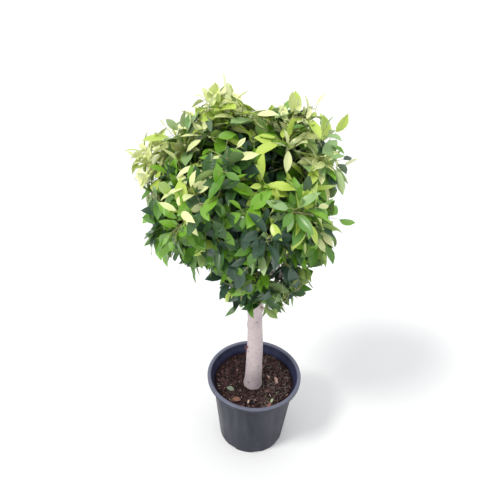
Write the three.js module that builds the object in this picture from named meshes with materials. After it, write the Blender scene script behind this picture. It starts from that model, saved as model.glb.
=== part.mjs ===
// A lollipop standard: a small-leaved fig on one bare stem, with a loose round head, in its nursery pot.
// Millimetres, +Z up. The origin is the centre of the pot's flat underside, and the front faces -Y.
// Azimuths are degrees round +Z from +X, and elevations are degrees above level.
import * as THREE from 'three';
import { mergeVertices } from 'three/addons/utils/BufferGeometryUtils.js';

// The least room left between two pieces that touch on the real plant, and before a limb's mass.
const FIT_GAP = 0.4;
const ENTRY_GAP = 3;

// --- Sizes: pot and potting mix ---
const POT_HEIGHT = 248;
const BASE_RADIUS = 99;
const SHOULDER_RADIUS = 122;
const SHOULDER_HEIGHT = 228;
const RIM_RADIUS = 140;
const LIP_WIDTH = 11;
const SKIRT_DEPTH = 12;
const LIP_FLARE = 1;
const WALL = 2.2;
const FLOOR = 3;
const SOIL_TOP = 206;
const SOIL_EDGE_RISE = 11;
const SOIL_DISH_RADIUS = 34;
const POT_SEGMENTS = 36;

// --- Sizes: stem ---
// Height of the section, sideways place of its centre, and its radius.
const STEM_SECTIONS = [
  [SOIL_TOP + FIT_GAP, -2.6, 28.0],
  [217, -2.3, 26.0],
  [250, -1.8, 25.0],
  [310, -2.0, 23.4],
  [375, -2.8, 22.1],
  [430, -5.0, 20.9],
  [465, -7.0, 20.4],
  [500, -8.6, 21.4],
  [533, -10.0, 24.0],
];
const STEM_SIDES = 16;
const DOME_RINGS = 3;
const STEM_SHOULDER_DROP = 16;

// --- Sizes: boughs and limbs ---
const BOUGH_TAPER = 0.78;
const KNUCKLE_RADIUS = 11.5;
const LIMB_RADII = [4.0, 1.8];
const BOUGH_SIDES = 9;
const BOUGH_STEPS = 5;
const LIMB_SIDES = 7;
const LIMB_STEPS = 5;
const FORK_SPREAD = 0.6;
const LIMB_SHARE_OUTSIDE = 0.6;

// --- Sizes: head of foliage ---
const HEAD_CENTRE = new THREE.Vector3(-52, 0, 862);
const OUTWARD_STRETCH = 1.1;
const INWARD_STRETCH = 0.6;
const MASS_GAP = 7;
const BOUGH_CLEARANCE = 17;
const LIMB_CLEARANCE = 14;
const STEM_CLEARANCE = 33;
const LUMPINESS = 0.1;
const LUMP_SHIFT = 1.7;
const EDGE_SHARPNESS = 7;
const MASS_DETAIL = 3;
const SPRAY_DETAIL = 2;

// Each bough: its name, azimuth, the elevation at which it leaves the stem's domed top, its radius there,
// and how far out and how high its knuckle is.
const BOUGHS = [
  ['bough_front_left', 222, 44, 6.8, 70, 664],
  ['bough_front_right', 318, 45, 6.8, 76, 660],
  ['bough_back_right', 42, 44, 6.6, 74, 672],
  ['bough_back_left', 138, 45, 6.6, 68, 668],
  ['bough_leader', 200, 88, 9.6, 12, 762],
];

// Each mass of foliage: its name, the bough that carries it, the azimuth, elevation and distance of its tip
// from the head's centre, and its half width. One carried by the stem has a limb out of the stem's side.
const MASSES = [
  ['foliage_left_tuft', 'bough_leader', 152, 74, 279, 100],
  ['foliage_right_tuft', 'bough_leader', 12, 59, 274, 108],
  ['foliage_front_top', 'bough_leader', 262, 44, 246, 140],
  ['foliage_back_top', 'bough_leader', 94, 42, 250, 140],
  ['foliage_left_shoulder', 'bough_back_left', 181, 15, 286, 128],
  ['foliage_right_shoulder', 'bough_back_right', 359, 19, 276, 132],
  ['foliage_front_left', 'bough_front_left', 230, 5, 274, 140],
  ['foliage_front_right', 'bough_front_right', 302, 3, 276, 140],
  ['foliage_back_left', 'bough_back_left', 132, 2, 280, 140],
  ['foliage_back_right', 'bough_back_right', 50, 2, 278, 140],
  ['foliage_left_low', 'bough_front_left', 198, -26, 276, 122],
  ['foliage_right_low', 'bough_front_right', 340, -25, 280, 124],
  ['foliage_front_low', 'bough_front_right', 266, -36, 262, 132],
  ['foliage_back_low', 'bough_back_left', 86, -36, 264, 132],
  ['foliage_front_skirt', 'stem', 278, -66, 298, 68],
  ['foliage_back_skirt', 'stem', 94, -64, 290, 66],
  ['foliage_right_spray', 'stem', 332, -62, 338, 62],
];

// --- Colours ---
const POT_COLOUR = 0x3f464f;
const SOIL_COLOUR = 0x3b241d;
const BARK_COLOUR = 0xb9aaa2;
const TWIG_COLOUR = 0x9a8f7a;
const LEAF_COLOURS = [0x6f9f3a, 0x4f8a2c];

// --- Helpers ---

const EAST = new THREE.Vector3(1, 0, 0);
const NORTH = new THREE.Vector3(0, 1, 0);

// The unit vector at an azimuth and an elevation.
function bearing(azimuth, elevation) {
  const [turn, rise] = [azimuth, elevation].map(THREE.MathUtils.degToRad);
  const level = Math.cos(rise);
  return new THREE.Vector3(Math.cos(turn) * level, Math.sin(turn) * level, Math.sin(rise));
}

function nameMesh(name, geometry, colour, roughness) {
  const material = new THREE.MeshStandardMaterial({ color: colour, roughness, metalness: 0 });
  const mesh = new THREE.Mesh(geometry, material);
  mesh.name = name;
  return mesh;
}

// A profile of [radius, height] pairs that starts and ends on the axis, turned round +Z.
function turned(profile) {
  const points = profile.map(([radius, height]) => new THREE.Vector2(radius, height));
  return new THREE.LatheGeometry(points, POT_SEGMENTS).rotateX(Math.PI / 2);
}

// Rings square to a curve at even steps along it, one for each radius.
function ringsAlong(curve, radii) {
  const steps = radii.length - 1;
  const { normals, binormals } = curve.computeFrenetFrames(steps, false);
  return radii.map((radius, i) => (
    { centre: curve.getPointAt(i / steps), normal: normals[i], binormal: binormals[i], radius }
  ));
}

// Rings that round off the last of some rings with half a ball, and the point that closes it.
function domeOn(last, radius) {
  const up = last.normal.clone().cross(last.binormal);
  const rings = Array.from({ length: DOME_RINGS }, (_, i) => {
    const rise = (i / DOME_RINGS) * (Math.PI / 2);
    const centre = last.centre.clone().addScaledVector(up, radius * Math.sin(rise));
    return { ...last, centre, radius: radius * Math.cos(rise) };
  });
  return { rings, tip: last.centre.clone().addScaledVector(up, radius) };
}

// Joins rings of points into one closed skin, with a fan to a point at each end.
function skinOver(rings, tip, sides) {
  const points = rings.flatMap(({ centre, normal, binormal, radius }) => (
    Array.from({ length: sides }, (_, side) => {
      const turn = (2 * Math.PI * side) / sides;
      return centre.clone()
        .addScaledVector(normal, radius * Math.cos(turn))
        .addScaledVector(binormal, radius * Math.sin(turn));
    })
  ));
  points.push(rings[0].centre, tip);
  const [foot, top, end] = [points.length - 2, points.length - 1, (rings.length - 1) * sides];
  const index = [];
  for (let side = 0; side < sides; side += 1) {
    const next = (side + 1) % sides;
    for (let near = 0; near < end; near += sides) {
      const far = near + sides;
      index.push(near + side, near + next, far + side, near + next, far + next, far + side);
    }
    index.push(foot, next, side, top, end + side, end + next);
  }
  return new THREE.BufferGeometry().setFromPoints(points).setIndex(index);
}

// --- Pot and potting mix ---

// The inside radius of the pot's tapering wall at a height below the shoulder.
function boreAt(height) {
  return THREE.MathUtils.mapLinear(height, 0, SHOULDER_HEIGHT, BASE_RADIUS, SHOULDER_RADIUS) - WALL;
}

// A tapering wall that steps out at the shoulder and folds over into a lip with a skirt.
function buildPot() {
  const lipInside = RIM_RADIUS - LIP_WIDTH;
  const skirtFoot = POT_HEIGHT - SKIRT_DEPTH;
  const profile = [
    [0, FLOOR],
    [boreAt(FLOOR), FLOOR],
    [SHOULDER_RADIUS - WALL, SHOULDER_HEIGHT],
    [lipInside - LIP_FLARE, skirtFoot],
    [lipInside, POT_HEIGHT],
    [RIM_RADIUS, POT_HEIGHT],
    [RIM_RADIUS, skirtFoot],
    [RIM_RADIUS - WALL, skirtFoot],
    [RIM_RADIUS - WALL, POT_HEIGHT - WALL],
    [lipInside + WALL, POT_HEIGHT - WALL],
    [lipInside + WALL - LIP_FLARE, skirtFoot - WALL],
    [SHOULDER_RADIUS, SHOULDER_HEIGHT - WALL],
    [BASE_RADIUS, 0],
    [0, 0],
  ];
  return nameMesh('pot', turned(profile.reverse()), POT_COLOUR, 0.62);
}

// The mix fills the pot to below the rim, level round the stem and a little higher at the wall.
function buildSoil() {
  const edge = SOIL_TOP + SOIL_EDGE_RISE;
  const foot = FLOOR + FIT_GAP;
  const profile = [
    [0, foot],
    [boreAt(foot) - FIT_GAP, foot],
    [boreAt(edge) - FIT_GAP, edge],
    [SOIL_DISH_RADIUS, SOIL_TOP],
    [0, SOIL_TOP],
  ];
  return nameMesh('potting_mix', turned(profile), SOIL_COLOUR, 0.95);
}

// --- Stem ---

const stemTop = (() => {
  const [height, sideways, radius] = STEM_SECTIONS.at(-1);
  return { centre: new THREE.Vector3(sideways, 0, height), radius };
})();

// The point on the stem's axis, just below its dome, from which small limbs leave level.
const stemShoulder = stemTop.centre.clone().setZ(stemTop.centre.z - STEM_SHOULDER_DROP);

// Level rings up the stem from a flat cut at the soil, and a dome on the last of them.
function buildStem() {
  const rings = STEM_SECTIONS.map(([height, sideways, radius]) => (
    { centre: new THREE.Vector3(sideways, 0, height), normal: EAST, binormal: NORTH, radius }
  ));
  const dome = domeOn(rings.pop(), stemTop.radius);
  return nameMesh('stem', skinOver([...rings, ...dome.rings], dome.tip, STEM_SIDES), BARK_COLOUR, 0.85);
}

// --- Boughs ---

// The way a bough leaves the stem's dome, and the knuckle that it bends up to, where its limbs part.
function planBough([name, azimuth, elevation, radius, out, height]) {
  const heading = bearing(azimuth, elevation);
  const start = stemTop.centre.clone().addScaledVector(heading, stemTop.radius + FIT_GAP);
  const knuckle = bearing(azimuth, 0).multiplyScalar(out).add(stemTop.centre).setZ(height);
  const elbow = start.clone().addScaledVector(heading, start.distanceTo(knuckle) / 2);
  return { name, radius, start, elbow, knuckle };
}

// A bending taper with a round knuckle on its far end.
function buildBough({ name, radius, start, elbow, knuckle }) {
  const bend = new THREE.QuadraticBezierCurve3(start, elbow, knuckle);
  const radii = Array.from({ length: BOUGH_STEPS + 1 }, (_, i) => (
    radius * THREE.MathUtils.lerp(1, BOUGH_TAPER, i / BOUGH_STEPS)
  ));
  const rings = ringsAlong(bend, radii);
  const dome = domeOn(rings.pop(), KNUCKLE_RADIUS);
  return nameMesh(name, skinOver([...rings, ...dome.rings], dome.tip, BOUGH_SIDES), BARK_COLOUR, 0.85);
}

// --- Masses of foliage ---

// The tip, middle and half width of a mass, and the point that its limb grows from.
function planMass([name, carrier, azimuth, elevation, reach, size], boughs) {
  const outward = bearing(azimuth, elevation);
  const centre = HEAD_CENTRE.clone().addScaledVector(outward, reach - size * OUTWARD_STRETCH);
  const bough = boughs.find((candidate) => candidate.name === carrier);
  return { name, outward, centre, size, bough, root: bough ? bough.knuckle : stemShoulder };
}

// The flat limits that a mass keeps behind: half way to each neighbour, and clear of each line of wood.
// Each is a unit vector from the mass's centre and a distance along it.
function limitsOf(mass, masses, wood) {
  const limits = [];
  masses.forEach((other) => {
    if (other === mass) return;
    const across = other.centre.clone().sub(mass.centre);
    const span = across.length();
    const share = (span * mass.size) / (mass.size + other.size);
    limits.push({ towards: across.normalize(), distance: share - MASS_GAP / 2 });
  });
  wood.forEach(({ line, clearance, owner }) => {
    if (owner === mass) return;
    const nearest = line.closestPointToPoint(mass.centre, true, new THREE.Vector3());
    const across = nearest.sub(mass.centre);
    const span = across.length();
    limits.push({ towards: across.normalize(), distance: span - clearance });
  });
  return limits;
}

// Broad and fine waves over the directions round a mass, between 0 and 1, shifted for each mass.
function lump(direction, shift) {
  const { x, y, z } = direction;
  const broad = Math.sin(2.3 * x + 1.9 * y + shift) * Math.cos(2.9 * z - 1.3 * y + 2 * shift);
  const fine = Math.sin(5.1 * y - 3.7 * z + 3 * shift) * Math.cos(4.7 * x + 2.2 * z + shift);
  return 0.5 + 0.3 * broad + 0.2 * fine;
}

// How far a mass reaches in one direction from its centre: a smooth least of its own uneven egg, longest
// outwards, and of every flat limit, so that it stays inside them all.
function reachOf(mass, limits, direction, shift) {
  const out = direction.dot(mass.outward);
  const length = mass.size * (out > 0 ? OUTWARD_STRETCH : INWARD_STRETCH);
  const flat = Math.sqrt(Math.max(1 - out * out, 0));
  const egg = 1 / Math.hypot(out / length, flat / mass.size);
  let sum = egg ** -EDGE_SHARPNESS;
  limits.forEach(({ towards, distance }) => {
    const slope = direction.dot(towards);
    if (slope > 0) sum += (distance / slope) ** -EDGE_SHARPNESS;
  });
  return sum ** (-1 / EDGE_SHARPNESS) * (1 - LUMPINESS * lump(direction, shift));
}

// A ball of even triangles, with each corner moved out to the mass's reach in its direction.
function buildMass(mass, order, masses, wood) {
  const limits = limitsOf(mass, masses, wood);
  const ball = new THREE.IcosahedronGeometry(1, mass.bough ? MASS_DETAIL : SPRAY_DETAIL);
  ball.deleteAttribute('normal');
  ball.deleteAttribute('uv');
  const geometry = mergeVertices(ball);
  const corners = geometry.getAttribute('position');
  const direction = new THREE.Vector3();
  for (let i = 0; i < corners.count; i += 1) {
    direction.fromBufferAttribute(corners, i).normalize();
    const reach = reachOf(mass, limits, direction, LUMP_SHIFT * order);
    const corner = mass.centre.clone().addScaledVector(direction, reach);
    corners.setXYZ(i, corner.x, corner.y, corner.z);
  }
  geometry.computeVertexNormals();
  return nameMesh(mass.name, geometry, LEAF_COLOURS[order % 2], 0.55);
}

// --- Limbs ---

// The way a limb sets out: level from the stem, or from a knuckle towards its mass, but leaning away from
// the mean way of the limbs that share the knuckle.
function limbHeading(mass, masses) {
  const way = ({ root, centre }) => centre.clone().sub(root).normalize();
  if (!mass.bough) return way(mass).setZ(0).normalize();
  const siblings = masses.filter(({ bough }) => bough === mass.bough);
  const mean = siblings.reduce((sum, sibling) => sum.add(way(sibling)), new THREE.Vector3());
  return way(mass).addScaledVector(mean, -FORK_SPREAD / siblings.length).normalize();
}

// One limb from its root to the skin of its mass, which it enters on the way to the mass's centre.
function buildLimb(mass, masses, skin) {
  const heading = limbHeading(mass, masses);
  const rootRadius = mass.bough ? KNUCKLE_RADIUS : stemTop.radius;
  const start = mass.root.clone().addScaledVector(heading, rootRadius + FIT_GAP);
  const aim = mass.centre.clone().sub(start).normalize();
  const [entry] = new THREE.Raycaster(start, aim).intersectObject(skin);
  const end = entry.point.clone().addScaledVector(aim, -ENTRY_GAP);
  const third = start.distanceTo(end) / 3;
  const bend = new THREE.CubicBezierCurve3(
    start,
    start.clone().addScaledVector(heading, third),
    end.clone().addScaledVector(aim, -third),
    end,
  );
  const radii = Array.from({ length: LIMB_STEPS + 1 }, (_, i) => (
    THREE.MathUtils.lerp(...LIMB_RADII, i / LIMB_STEPS)
  ));
  const name = mass.name.replace('foliage', 'limb');
  return nameMesh(name, skinOver(ringsAlong(bend, radii), end, LIMB_SIDES), TWIG_COLOUR, 0.85);
}

// --- Assembly ---

const boughs = BOUGHS.map(planBough);
const masses = MASSES.map((row) => planMass(row, boughs));
const stemFoot = stemTop.centre.clone().setZ(SOIL_TOP);

// The lines of wood that the foliage keeps clear of; a mass meets the limb that it owns.
const wood = [
  { line: new THREE.Line3(stemFoot, stemTop.centre), clearance: STEM_CLEARANCE },
  ...boughs.flatMap(({ start, elbow, knuckle }) => [
    { line: new THREE.Line3(start, elbow), clearance: BOUGH_CLEARANCE },
    { line: new THREE.Line3(elbow, knuckle), clearance: BOUGH_CLEARANCE },
  ]),
  ...masses.map((mass) => {
    const inside = mass.root.clone().lerp(mass.centre, LIMB_SHARE_OUTSIDE);
    return { line: new THREE.Line3(mass.root, inside), clearance: LIMB_CLEARANCE, owner: mass };
  }),
];
const skins = masses.map((mass, order) => buildMass(mass, order, masses, wood));
const limbs = masses.map((mass, order) => buildLimb(mass, masses, skins[order]));

const plant = new THREE.Group();
plant.add(buildPot(), buildSoil(), buildStem(), ...boughs.map(buildBough), ...limbs, ...skins);

export default plant;
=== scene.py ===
# %% [markdown]
# # A loosely grown fig standard in its pot
#
# A lollipop standard is a young tree trained on one clear stem, with all of its growth in a head on top.
# This one has been left unclipped, so its head is a heap of leafy masses and not a smooth ball.
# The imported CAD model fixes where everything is: the pot, the soil, the stem, its boughs, and the space that
# each mass of foliage fills. This lesson keeps those places and grows the real surfaces inside them.
# Every length here is in metres, and up is +Z.

# %% Load the frame
import math

import bpy
import numpy as np
from mathutils import Matrix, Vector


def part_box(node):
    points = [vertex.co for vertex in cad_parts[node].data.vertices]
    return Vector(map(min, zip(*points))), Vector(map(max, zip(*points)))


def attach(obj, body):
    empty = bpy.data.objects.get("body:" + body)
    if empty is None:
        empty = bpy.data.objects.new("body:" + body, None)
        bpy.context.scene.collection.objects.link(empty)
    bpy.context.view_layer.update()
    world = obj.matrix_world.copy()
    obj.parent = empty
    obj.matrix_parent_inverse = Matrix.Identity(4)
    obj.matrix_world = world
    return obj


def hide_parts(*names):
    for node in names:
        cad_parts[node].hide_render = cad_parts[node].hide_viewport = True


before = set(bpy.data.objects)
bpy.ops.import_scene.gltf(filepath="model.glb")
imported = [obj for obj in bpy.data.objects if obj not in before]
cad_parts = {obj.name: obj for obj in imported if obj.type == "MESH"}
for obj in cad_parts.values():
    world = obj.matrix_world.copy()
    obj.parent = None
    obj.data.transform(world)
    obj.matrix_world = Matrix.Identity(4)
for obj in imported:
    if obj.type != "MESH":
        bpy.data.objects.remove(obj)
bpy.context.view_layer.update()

masses = sorted(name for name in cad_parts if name.startswith("foliage_"))
limbs = [name.replace("foliage", "limb") for name in masses]
boughs = sorted(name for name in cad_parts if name.startswith("bough_"))

# %% [markdown]
# ## The camera
#
# The plant is seen from a standing person's height, looking down into the pot, which shows the soil and the
# pot's rim as a wide ellipse. Blender's camera looks along its own -Z axis, so a turn of 90 degrees less the
# downward tilt about X aims it. A last small turn about its own Z leans the view, as a hand-held camera does.
# The lens belongs to a sensor 36 mm wide.

# %% Camera
CAMERA_PLACE = (-0.0297, -1.170, 1.506)
CAMERA_TILT = 34.68
CAMERA_LEAN = 2.66
CAMERA_LENS = 40.32

camera = bpy.data.objects.new("camera", bpy.data.cameras.new("camera"))
camera.data.lens = CAMERA_LENS
camera.data.sensor_width = 36.0
camera.matrix_world = (
    Matrix.Translation(CAMERA_PLACE)
    @ Matrix.Rotation(math.radians(90 - CAMERA_TILT), 4, "X")
    @ Matrix.Rotation(math.radians(CAMERA_LEAN), 4, "Z")
)
bpy.context.scene.collection.objects.link(camera)
bpy.context.scene.camera = camera
print(f"camera {CAMERA_PLACE[2]:.2f} m up, tilted {CAMERA_TILT:.1f} degrees down")

# %% [markdown]
# ## From arrays to meshes
#
# Every surface below is worked out with numpy as whole arrays: a table of corner points, and tables of faces
# that name their corners by number. Blender could be fed one vertex at a time, but a plant has hundreds of
# thousands of them, and foreach_set hands over a whole array in one go. Faces list their corners
# anticlockwise as seen from outside, because that is how Blender knows which way they point.

# %% Arrays to meshes
def unit(vectors):
    """Each vector divided by its own length."""
    return vectors / np.maximum(np.linalg.norm(vectors, axis=-1, keepdims=True), 1e-12)


def grid_quads(rows, columns, closed):
    """Four-cornered faces of a grid of rows by columns numbered row by row; closed joins its last column to
    the first. Corner (i, j) is joined to (i, j+1), (i+1, j+1) and (i+1, j)."""
    i = np.arange(rows - 1)[:, None]
    j = np.arange(columns if closed else columns - 1)[None, :]
    k = (j + 1) % columns
    corners = (i * columns + j, i * columns + k, (i + 1) * columns + k, (i + 1) * columns + j)
    return np.stack(corners, axis=-1).reshape(-1, 4)


def fan(pole, ring):
    """Three-cornered faces from one pole to each neighbouring pair in a closed ring of corner numbers."""
    return np.stack([np.full(len(ring), pole), ring, np.roll(ring, -1)], axis=-1)


def repeated(faces, copies, corners):
    """The same faces for many copies of a shape, each copy's numbers moved on by the corners of one shape."""
    step = np.arange(copies)[:, None, None] * corners
    return (faces[None] + step).reshape(-1, faces.shape[1])


def tube_faces(rows, sides):
    """Faces of a closed tube whose corners are its rings one by one, then a pole before the first ring and a
    pole past the last: the quads of its wall, and the triangles of its two ends."""
    ring = np.arange(sides)
    pole = rows * sides
    ends = np.concatenate([fan(pole, ring[::-1]), fan(pole + 1, ring + pole - sides)])
    return grid_quads(rows, sides, True), ends


def capped(rings, first, last):
    """One closed tube from its rings (rows, sides, 3) and its two poles, as points, quads and triangles."""
    points = np.concatenate([rings.reshape(-1, 3), [first, last]])
    return points, *tube_faces(*rings.shape[:2])


def make_piece(name, shape, finishes, replaces, layers=None, smooth=True):
    """One mesh object at the origin. shape is its points, then arrays of triangles or quads, each of which
    wears the finish of its own number, or else the last. layers holds one value or one UV pair for each
    point, by attribute name."""
    points, *faces = shape
    mesh = bpy.data.meshes.new(name)
    points = np.asarray(points, np.float32).reshape(-1, 3)
    counts = [len(part) for part in faces]
    sizes = np.repeat([part.shape[1] for part in faces], counts)
    bands = np.repeat(np.minimum(np.arange(len(faces)), len(finishes) - 1), counts)
    loops = np.concatenate([part.ravel() for part in faces]).astype(np.int32)
    mesh.vertices.add(len(points))
    mesh.vertices.foreach_set("co", points.ravel())
    mesh.loops.add(len(loops))
    mesh.loops.foreach_set("vertex_index", loops)
    mesh.polygons.add(len(sizes))
    mesh.polygons.foreach_set("loop_start", (np.cumsum(sizes) - sizes).astype(np.int32))
    mesh.polygons.foreach_set("material_index", bands.astype(np.int32))
    mesh.polygons.foreach_set("use_smooth", np.full(len(sizes), smooth))
    for label, values in (layers or {}).items():
        values = np.asarray(values, np.float32)
        if values.ndim == 2:
            layer = mesh.uv_layers.new(name=label)
            layer.data.foreach_set("uv", values[loops].ravel())
        else:
            mesh.attributes.new(label, "FLOAT", "POINT").data.foreach_set("value", values)
    mesh.update(calc_edges=True)
    for finish in finishes:
        mesh.materials.append(finish)
    piece = bpy.data.objects.new(name, mesh)
    bpy.context.scene.collection.objects.link(piece)
    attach(piece, "root")
    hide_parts(*replaces)
    print(f"{name}: {len(points)} corners, {int((sizes - 2).sum())} triangles")


# %% [markdown]
# Stems, boughs, twigs and leaf stalks are all tubes: a line through space with a radius at each point of it.
# One function sweeps any number of them together. Across each line it needs two directions to carry the
# circle. They come from a fixed direction that is square to the line's start and end, so a gently bent tube
# doesn't twist. Both ends are closed with a fan to a pole, which stands out a little to round them off.

# %% Sweeping tubes
def cross_axes(lines):
    """Tangents of lines (n, steps, 3), and two unit directions square to them."""
    tangents = unit(np.gradient(lines, axis=1))
    chord = unit(lines[:, -1] - lines[:, 0])
    spare = np.eye(3)[np.argmin(np.abs(chord), axis=1)]
    side = unit(np.cross(tangents, spare[:, None, :]))
    return tangents, side, np.cross(tangents, side)


def sweep(lines, radii, sides, end_length=0.7):
    """Closed tubes: each corner is the line's point plus radius x (cos a side + sin a other side), with the
    angle a going round in equal steps. Returns the points, quads and triangles of all the tubes together."""
    tangents, side, other = cross_axes(lines)
    angle = np.arange(sides) * 2 * np.pi / sides
    spoke = side[:, :, None] * np.cos(angle)[:, None] + other[:, :, None] * np.sin(angle)[:, None]
    rings = lines[:, :, None] + radii[:, :, None, None] * spoke
    count, steps = radii.shape
    first = lines[:, 0] - tangents[:, 0] * radii[:, :1] * end_length
    last = lines[:, -1] + tangents[:, -1] * radii[:, -1:] * end_length
    points = np.concatenate([rings.reshape(count, -1, 3), first[:, None], last[:, None]], axis=1)
    quads, ends = tube_faces(steps, sides)
    return points.reshape(-1, 3), *(repeated(part, count, points.shape[1]) for part in (quads, ends))


def bent_lines(starts, controls, ends, steps):
    """Lines that leave each start towards its control point and arrive at its end from there: the quadratic
    Bezier (1-t)^2 start + 2t(1-t) control + t^2 end."""
    t = np.linspace(0, 1, steps)[None, :, None]
    return (1 - t) ** 2 * starts[:, None] + 2 * t * (1 - t) * controls[:, None] + t * t * ends[:, None]


def taper(lines, first, last):
    """Radii for lines that go from first to last in a straight taper."""
    return np.broadcast_to(np.linspace(first, last, lines.shape[1]), lines.shape[:2])


def joined(*shapes):
    """Several (points, quads, triangles) as one, with the later ones' corner numbers moved on."""
    starts = np.cumsum([0] + [len(shape[0]) for shape in shapes[:-1]])
    points = np.concatenate([shape[0] for shape in shapes])
    quads, triangles = (
        np.concatenate([shape[part] + start for shape, start in zip(shapes, starts)]) for part in (1, 2)
    )
    return points, quads, triangles


# %% [markdown]
# ## Finishes
#
# A finish is a small network of nodes round a Principled BSDF. Colours are easiest to think of as they look
# on a screen, but the shader adds light in linear values, so one helper turns screen values into linear ones.
# Two effects come back in many finishes: a soft mottle that makes a value wander over a surface, and a fine
# grain for its relief. Each is built once as a node group. Both read Object coordinates, which stay put in
# metres on the piece.

# %% Node helpers
def screen_colour(red, green, blue):
    """Linear RGBA of a colour given as screen values from 0 to 255."""
    values = np.array([red, green, blue]) / 255
    linear = np.where(values <= 0.04045, values / 12.92, ((values + 0.055) / 1.055) ** 2.4)
    return (*linear.tolist(), 1.0)


def set_inputs(tree, made, inputs):
    """Sets a node's unlinked input values; an input given as a socket is linked to it instead."""
    for key, value in inputs.items():
        if isinstance(value, bpy.types.NodeSocket):
            tree.links.new(value, made.inputs[key])
        else:
            made.inputs[key].default_value = value


def node(tree, kind, inputs=None, **settings):
    """A new node with its settings and inputs."""
    made = tree.nodes.new(kind)
    for key, value in settings.items():
        setattr(made, key, value)
    set_inputs(tree, made, inputs or {})
    return made


def maths(tree, operation, *values):
    """The result of a Math node on the values, each of which is a number or a socket."""
    return node(tree, "ShaderNodeMath", dict(enumerate(values)), operation=operation).outputs[0]


def remap(tree, value, from_low, from_high, to_low, to_high):
    """The value moved in a straight line from one range to another, and held at that one's ends."""
    inputs = {"Value": value, "From Min": from_low, "From Max": from_high}
    return node(tree, "ShaderNodeMapRange", {**inputs, "To Min": to_low, "To Max": to_high}).outputs["Result"]


def stretched(tree, place, upward):
    """Coordinates that count faster (over 1) or slower (under 1) upward, for wide or for tall patterns."""
    return node(tree, "ShaderNodeMapping", {"Vector": place, "Scale": (1.0, 1.0, upward)}).outputs["Vector"]


def new_group(name, inputs, output):
    """An empty node group with float or vector inputs {name: default} and one output socket."""
    group = bpy.data.node_groups.new(name, "ShaderNodeTree")
    for label, default in inputs.items():
        kind = "NodeSocketVector" if default is None else "NodeSocketFloat"
        socket = group.interface.new_socket(label, in_out="INPUT", socket_type=kind)
        if default is not None:
            socket.default_value = default
    group.interface.new_socket(output, in_out="OUTPUT", socket_type="NodeSocketFloat")
    return group, group.nodes.new("NodeGroupInput"), group.nodes.new("NodeGroupOutput")


mottle_group, entry, out = new_group(
    "mottle", {"Vector": None, "Scale": 20.0, "Detail": 3.0, "Low": 0.0, "High": 1.0}, "Value"
)
given = entry.outputs
cloud = node(mottle_group, "ShaderNodeTexNoise", {key: given[key] for key in ("Vector", "Scale", "Detail")})
spread = remap(mottle_group, cloud.outputs["Fac"], 0.32, 0.68, given["Low"], given["High"])
mottle_group.links.new(spread, out.inputs["Value"])

grain_group, entry, out = new_group("grain", {"Vector": None, "Scale": 300.0, "Pits": 0.3}, "Height")
given = {key: entry.outputs[key] for key in ("Vector", "Scale")}
rough = node(grain_group, "ShaderNodeTexNoise", {**given, "Detail": 4.0, "Roughness": 0.62}).outputs["Fac"]
hollow = node(grain_group, "ShaderNodeTexVoronoi", given).outputs["Distance"]
shares = {0: entry.outputs["Pits"], 2: rough, 3: hollow}
mixed = node(grain_group, "ShaderNodeMix", shares, data_type="FLOAT")
grain_group.links.new(mixed.outputs[0], out.inputs["Height"])
print("shared effects: mottle and grain")

# %% [markdown]
# Every finish starts from the same few nodes. Most dry parts of the plant, such as twigs and flakes, need one
# colour, a roughness that wanders a little, and a grain. They differ only in how coarse these are.

# %% A finish's first nodes
def new_finish(name):
    """A material with its Principled BSDF, and the Object coordinates of the piece that wears it."""
    material = bpy.data.materials.new(name)
    material.use_nodes = True
    tree = material.node_tree
    shader = tree.nodes["Principled BSDF"]
    place = node(tree, "ShaderNodeTexCoord").outputs["Object"]
    return material, tree, shader, place


def mottle(tree, place, scale, low, high, detail=3.0):
    """A value that wanders between low and high in patches; scale is patches to the metre."""
    inputs = {"Vector": place, "Scale": scale, "Detail": detail, "Low": low, "High": high}
    return node(tree, "ShaderNodeGroup", inputs, node_tree=mottle_group).outputs["Value"]


def grain(tree, place, scale, pits):
    """Height of a fine grain; pits mixes in round hollows."""
    inputs = {"Vector": place, "Scale": scale, "Pits": pits}
    return node(tree, "ShaderNodeGroup", inputs, node_tree=grain_group).outputs["Height"]


def mix_colour(tree, share, first, second):
    """The first colour where share is 0 and the second where it is 1."""
    inputs = {0: share, 6: first, 7: second}
    return node(tree, "ShaderNodeMix", inputs, data_type="RGBA").outputs[2]


def relief(tree, height, depth):
    """A normal for the shader from a height, through a bump of the given depth in metres."""
    return node(tree, "ShaderNodeBump", {"Height": height, "Distance": depth}).outputs["Normal"]


def dull_finish(name, colour, roughness, patches, coarseness, pits, depth):
    """Dull dry matter in one colour: roughness that wanders by a tenth, in patches, over a pitted grain."""
    material, tree, shader, place = new_finish(name)
    inputs = {
        "Base Color": screen_colour(*colour),
        "Roughness": mottle(tree, place, patches, roughness - 0.1, roughness + 0.1),
        "Normal": relief(tree, grain(tree, place, coarseness, pits), depth),
    }
    set_inputs(tree, shader, inputs)
    return material


# %% [markdown]
# ## Reading places from the frame
#
# The CAD model holds each limb as a short bent cone. Its middle line comes back from its corners: as they lie
# evenly all round, a smooth curve fitted through all of them by least squares runs down the middle.
# Each mass of foliage is a lump. What the twigs and leaves need to know is how far its skin stands from its
# middle in any direction, which is a mean of its corners' distances that counts the nearest directions most.

# %% Places from the frame
HEAD_MIDDLE = 0.53


def node_points(name):
    """A CAD node's corners, each once: rounded to a hundredth of a millimetre, then made unique."""
    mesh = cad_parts[name].data
    flat = np.empty(len(mesh.vertices) * 3)
    mesh.vertices.foreach_get("co", flat)
    return np.unique(flat.reshape(-1, 3).round(5), axis=0)


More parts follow.
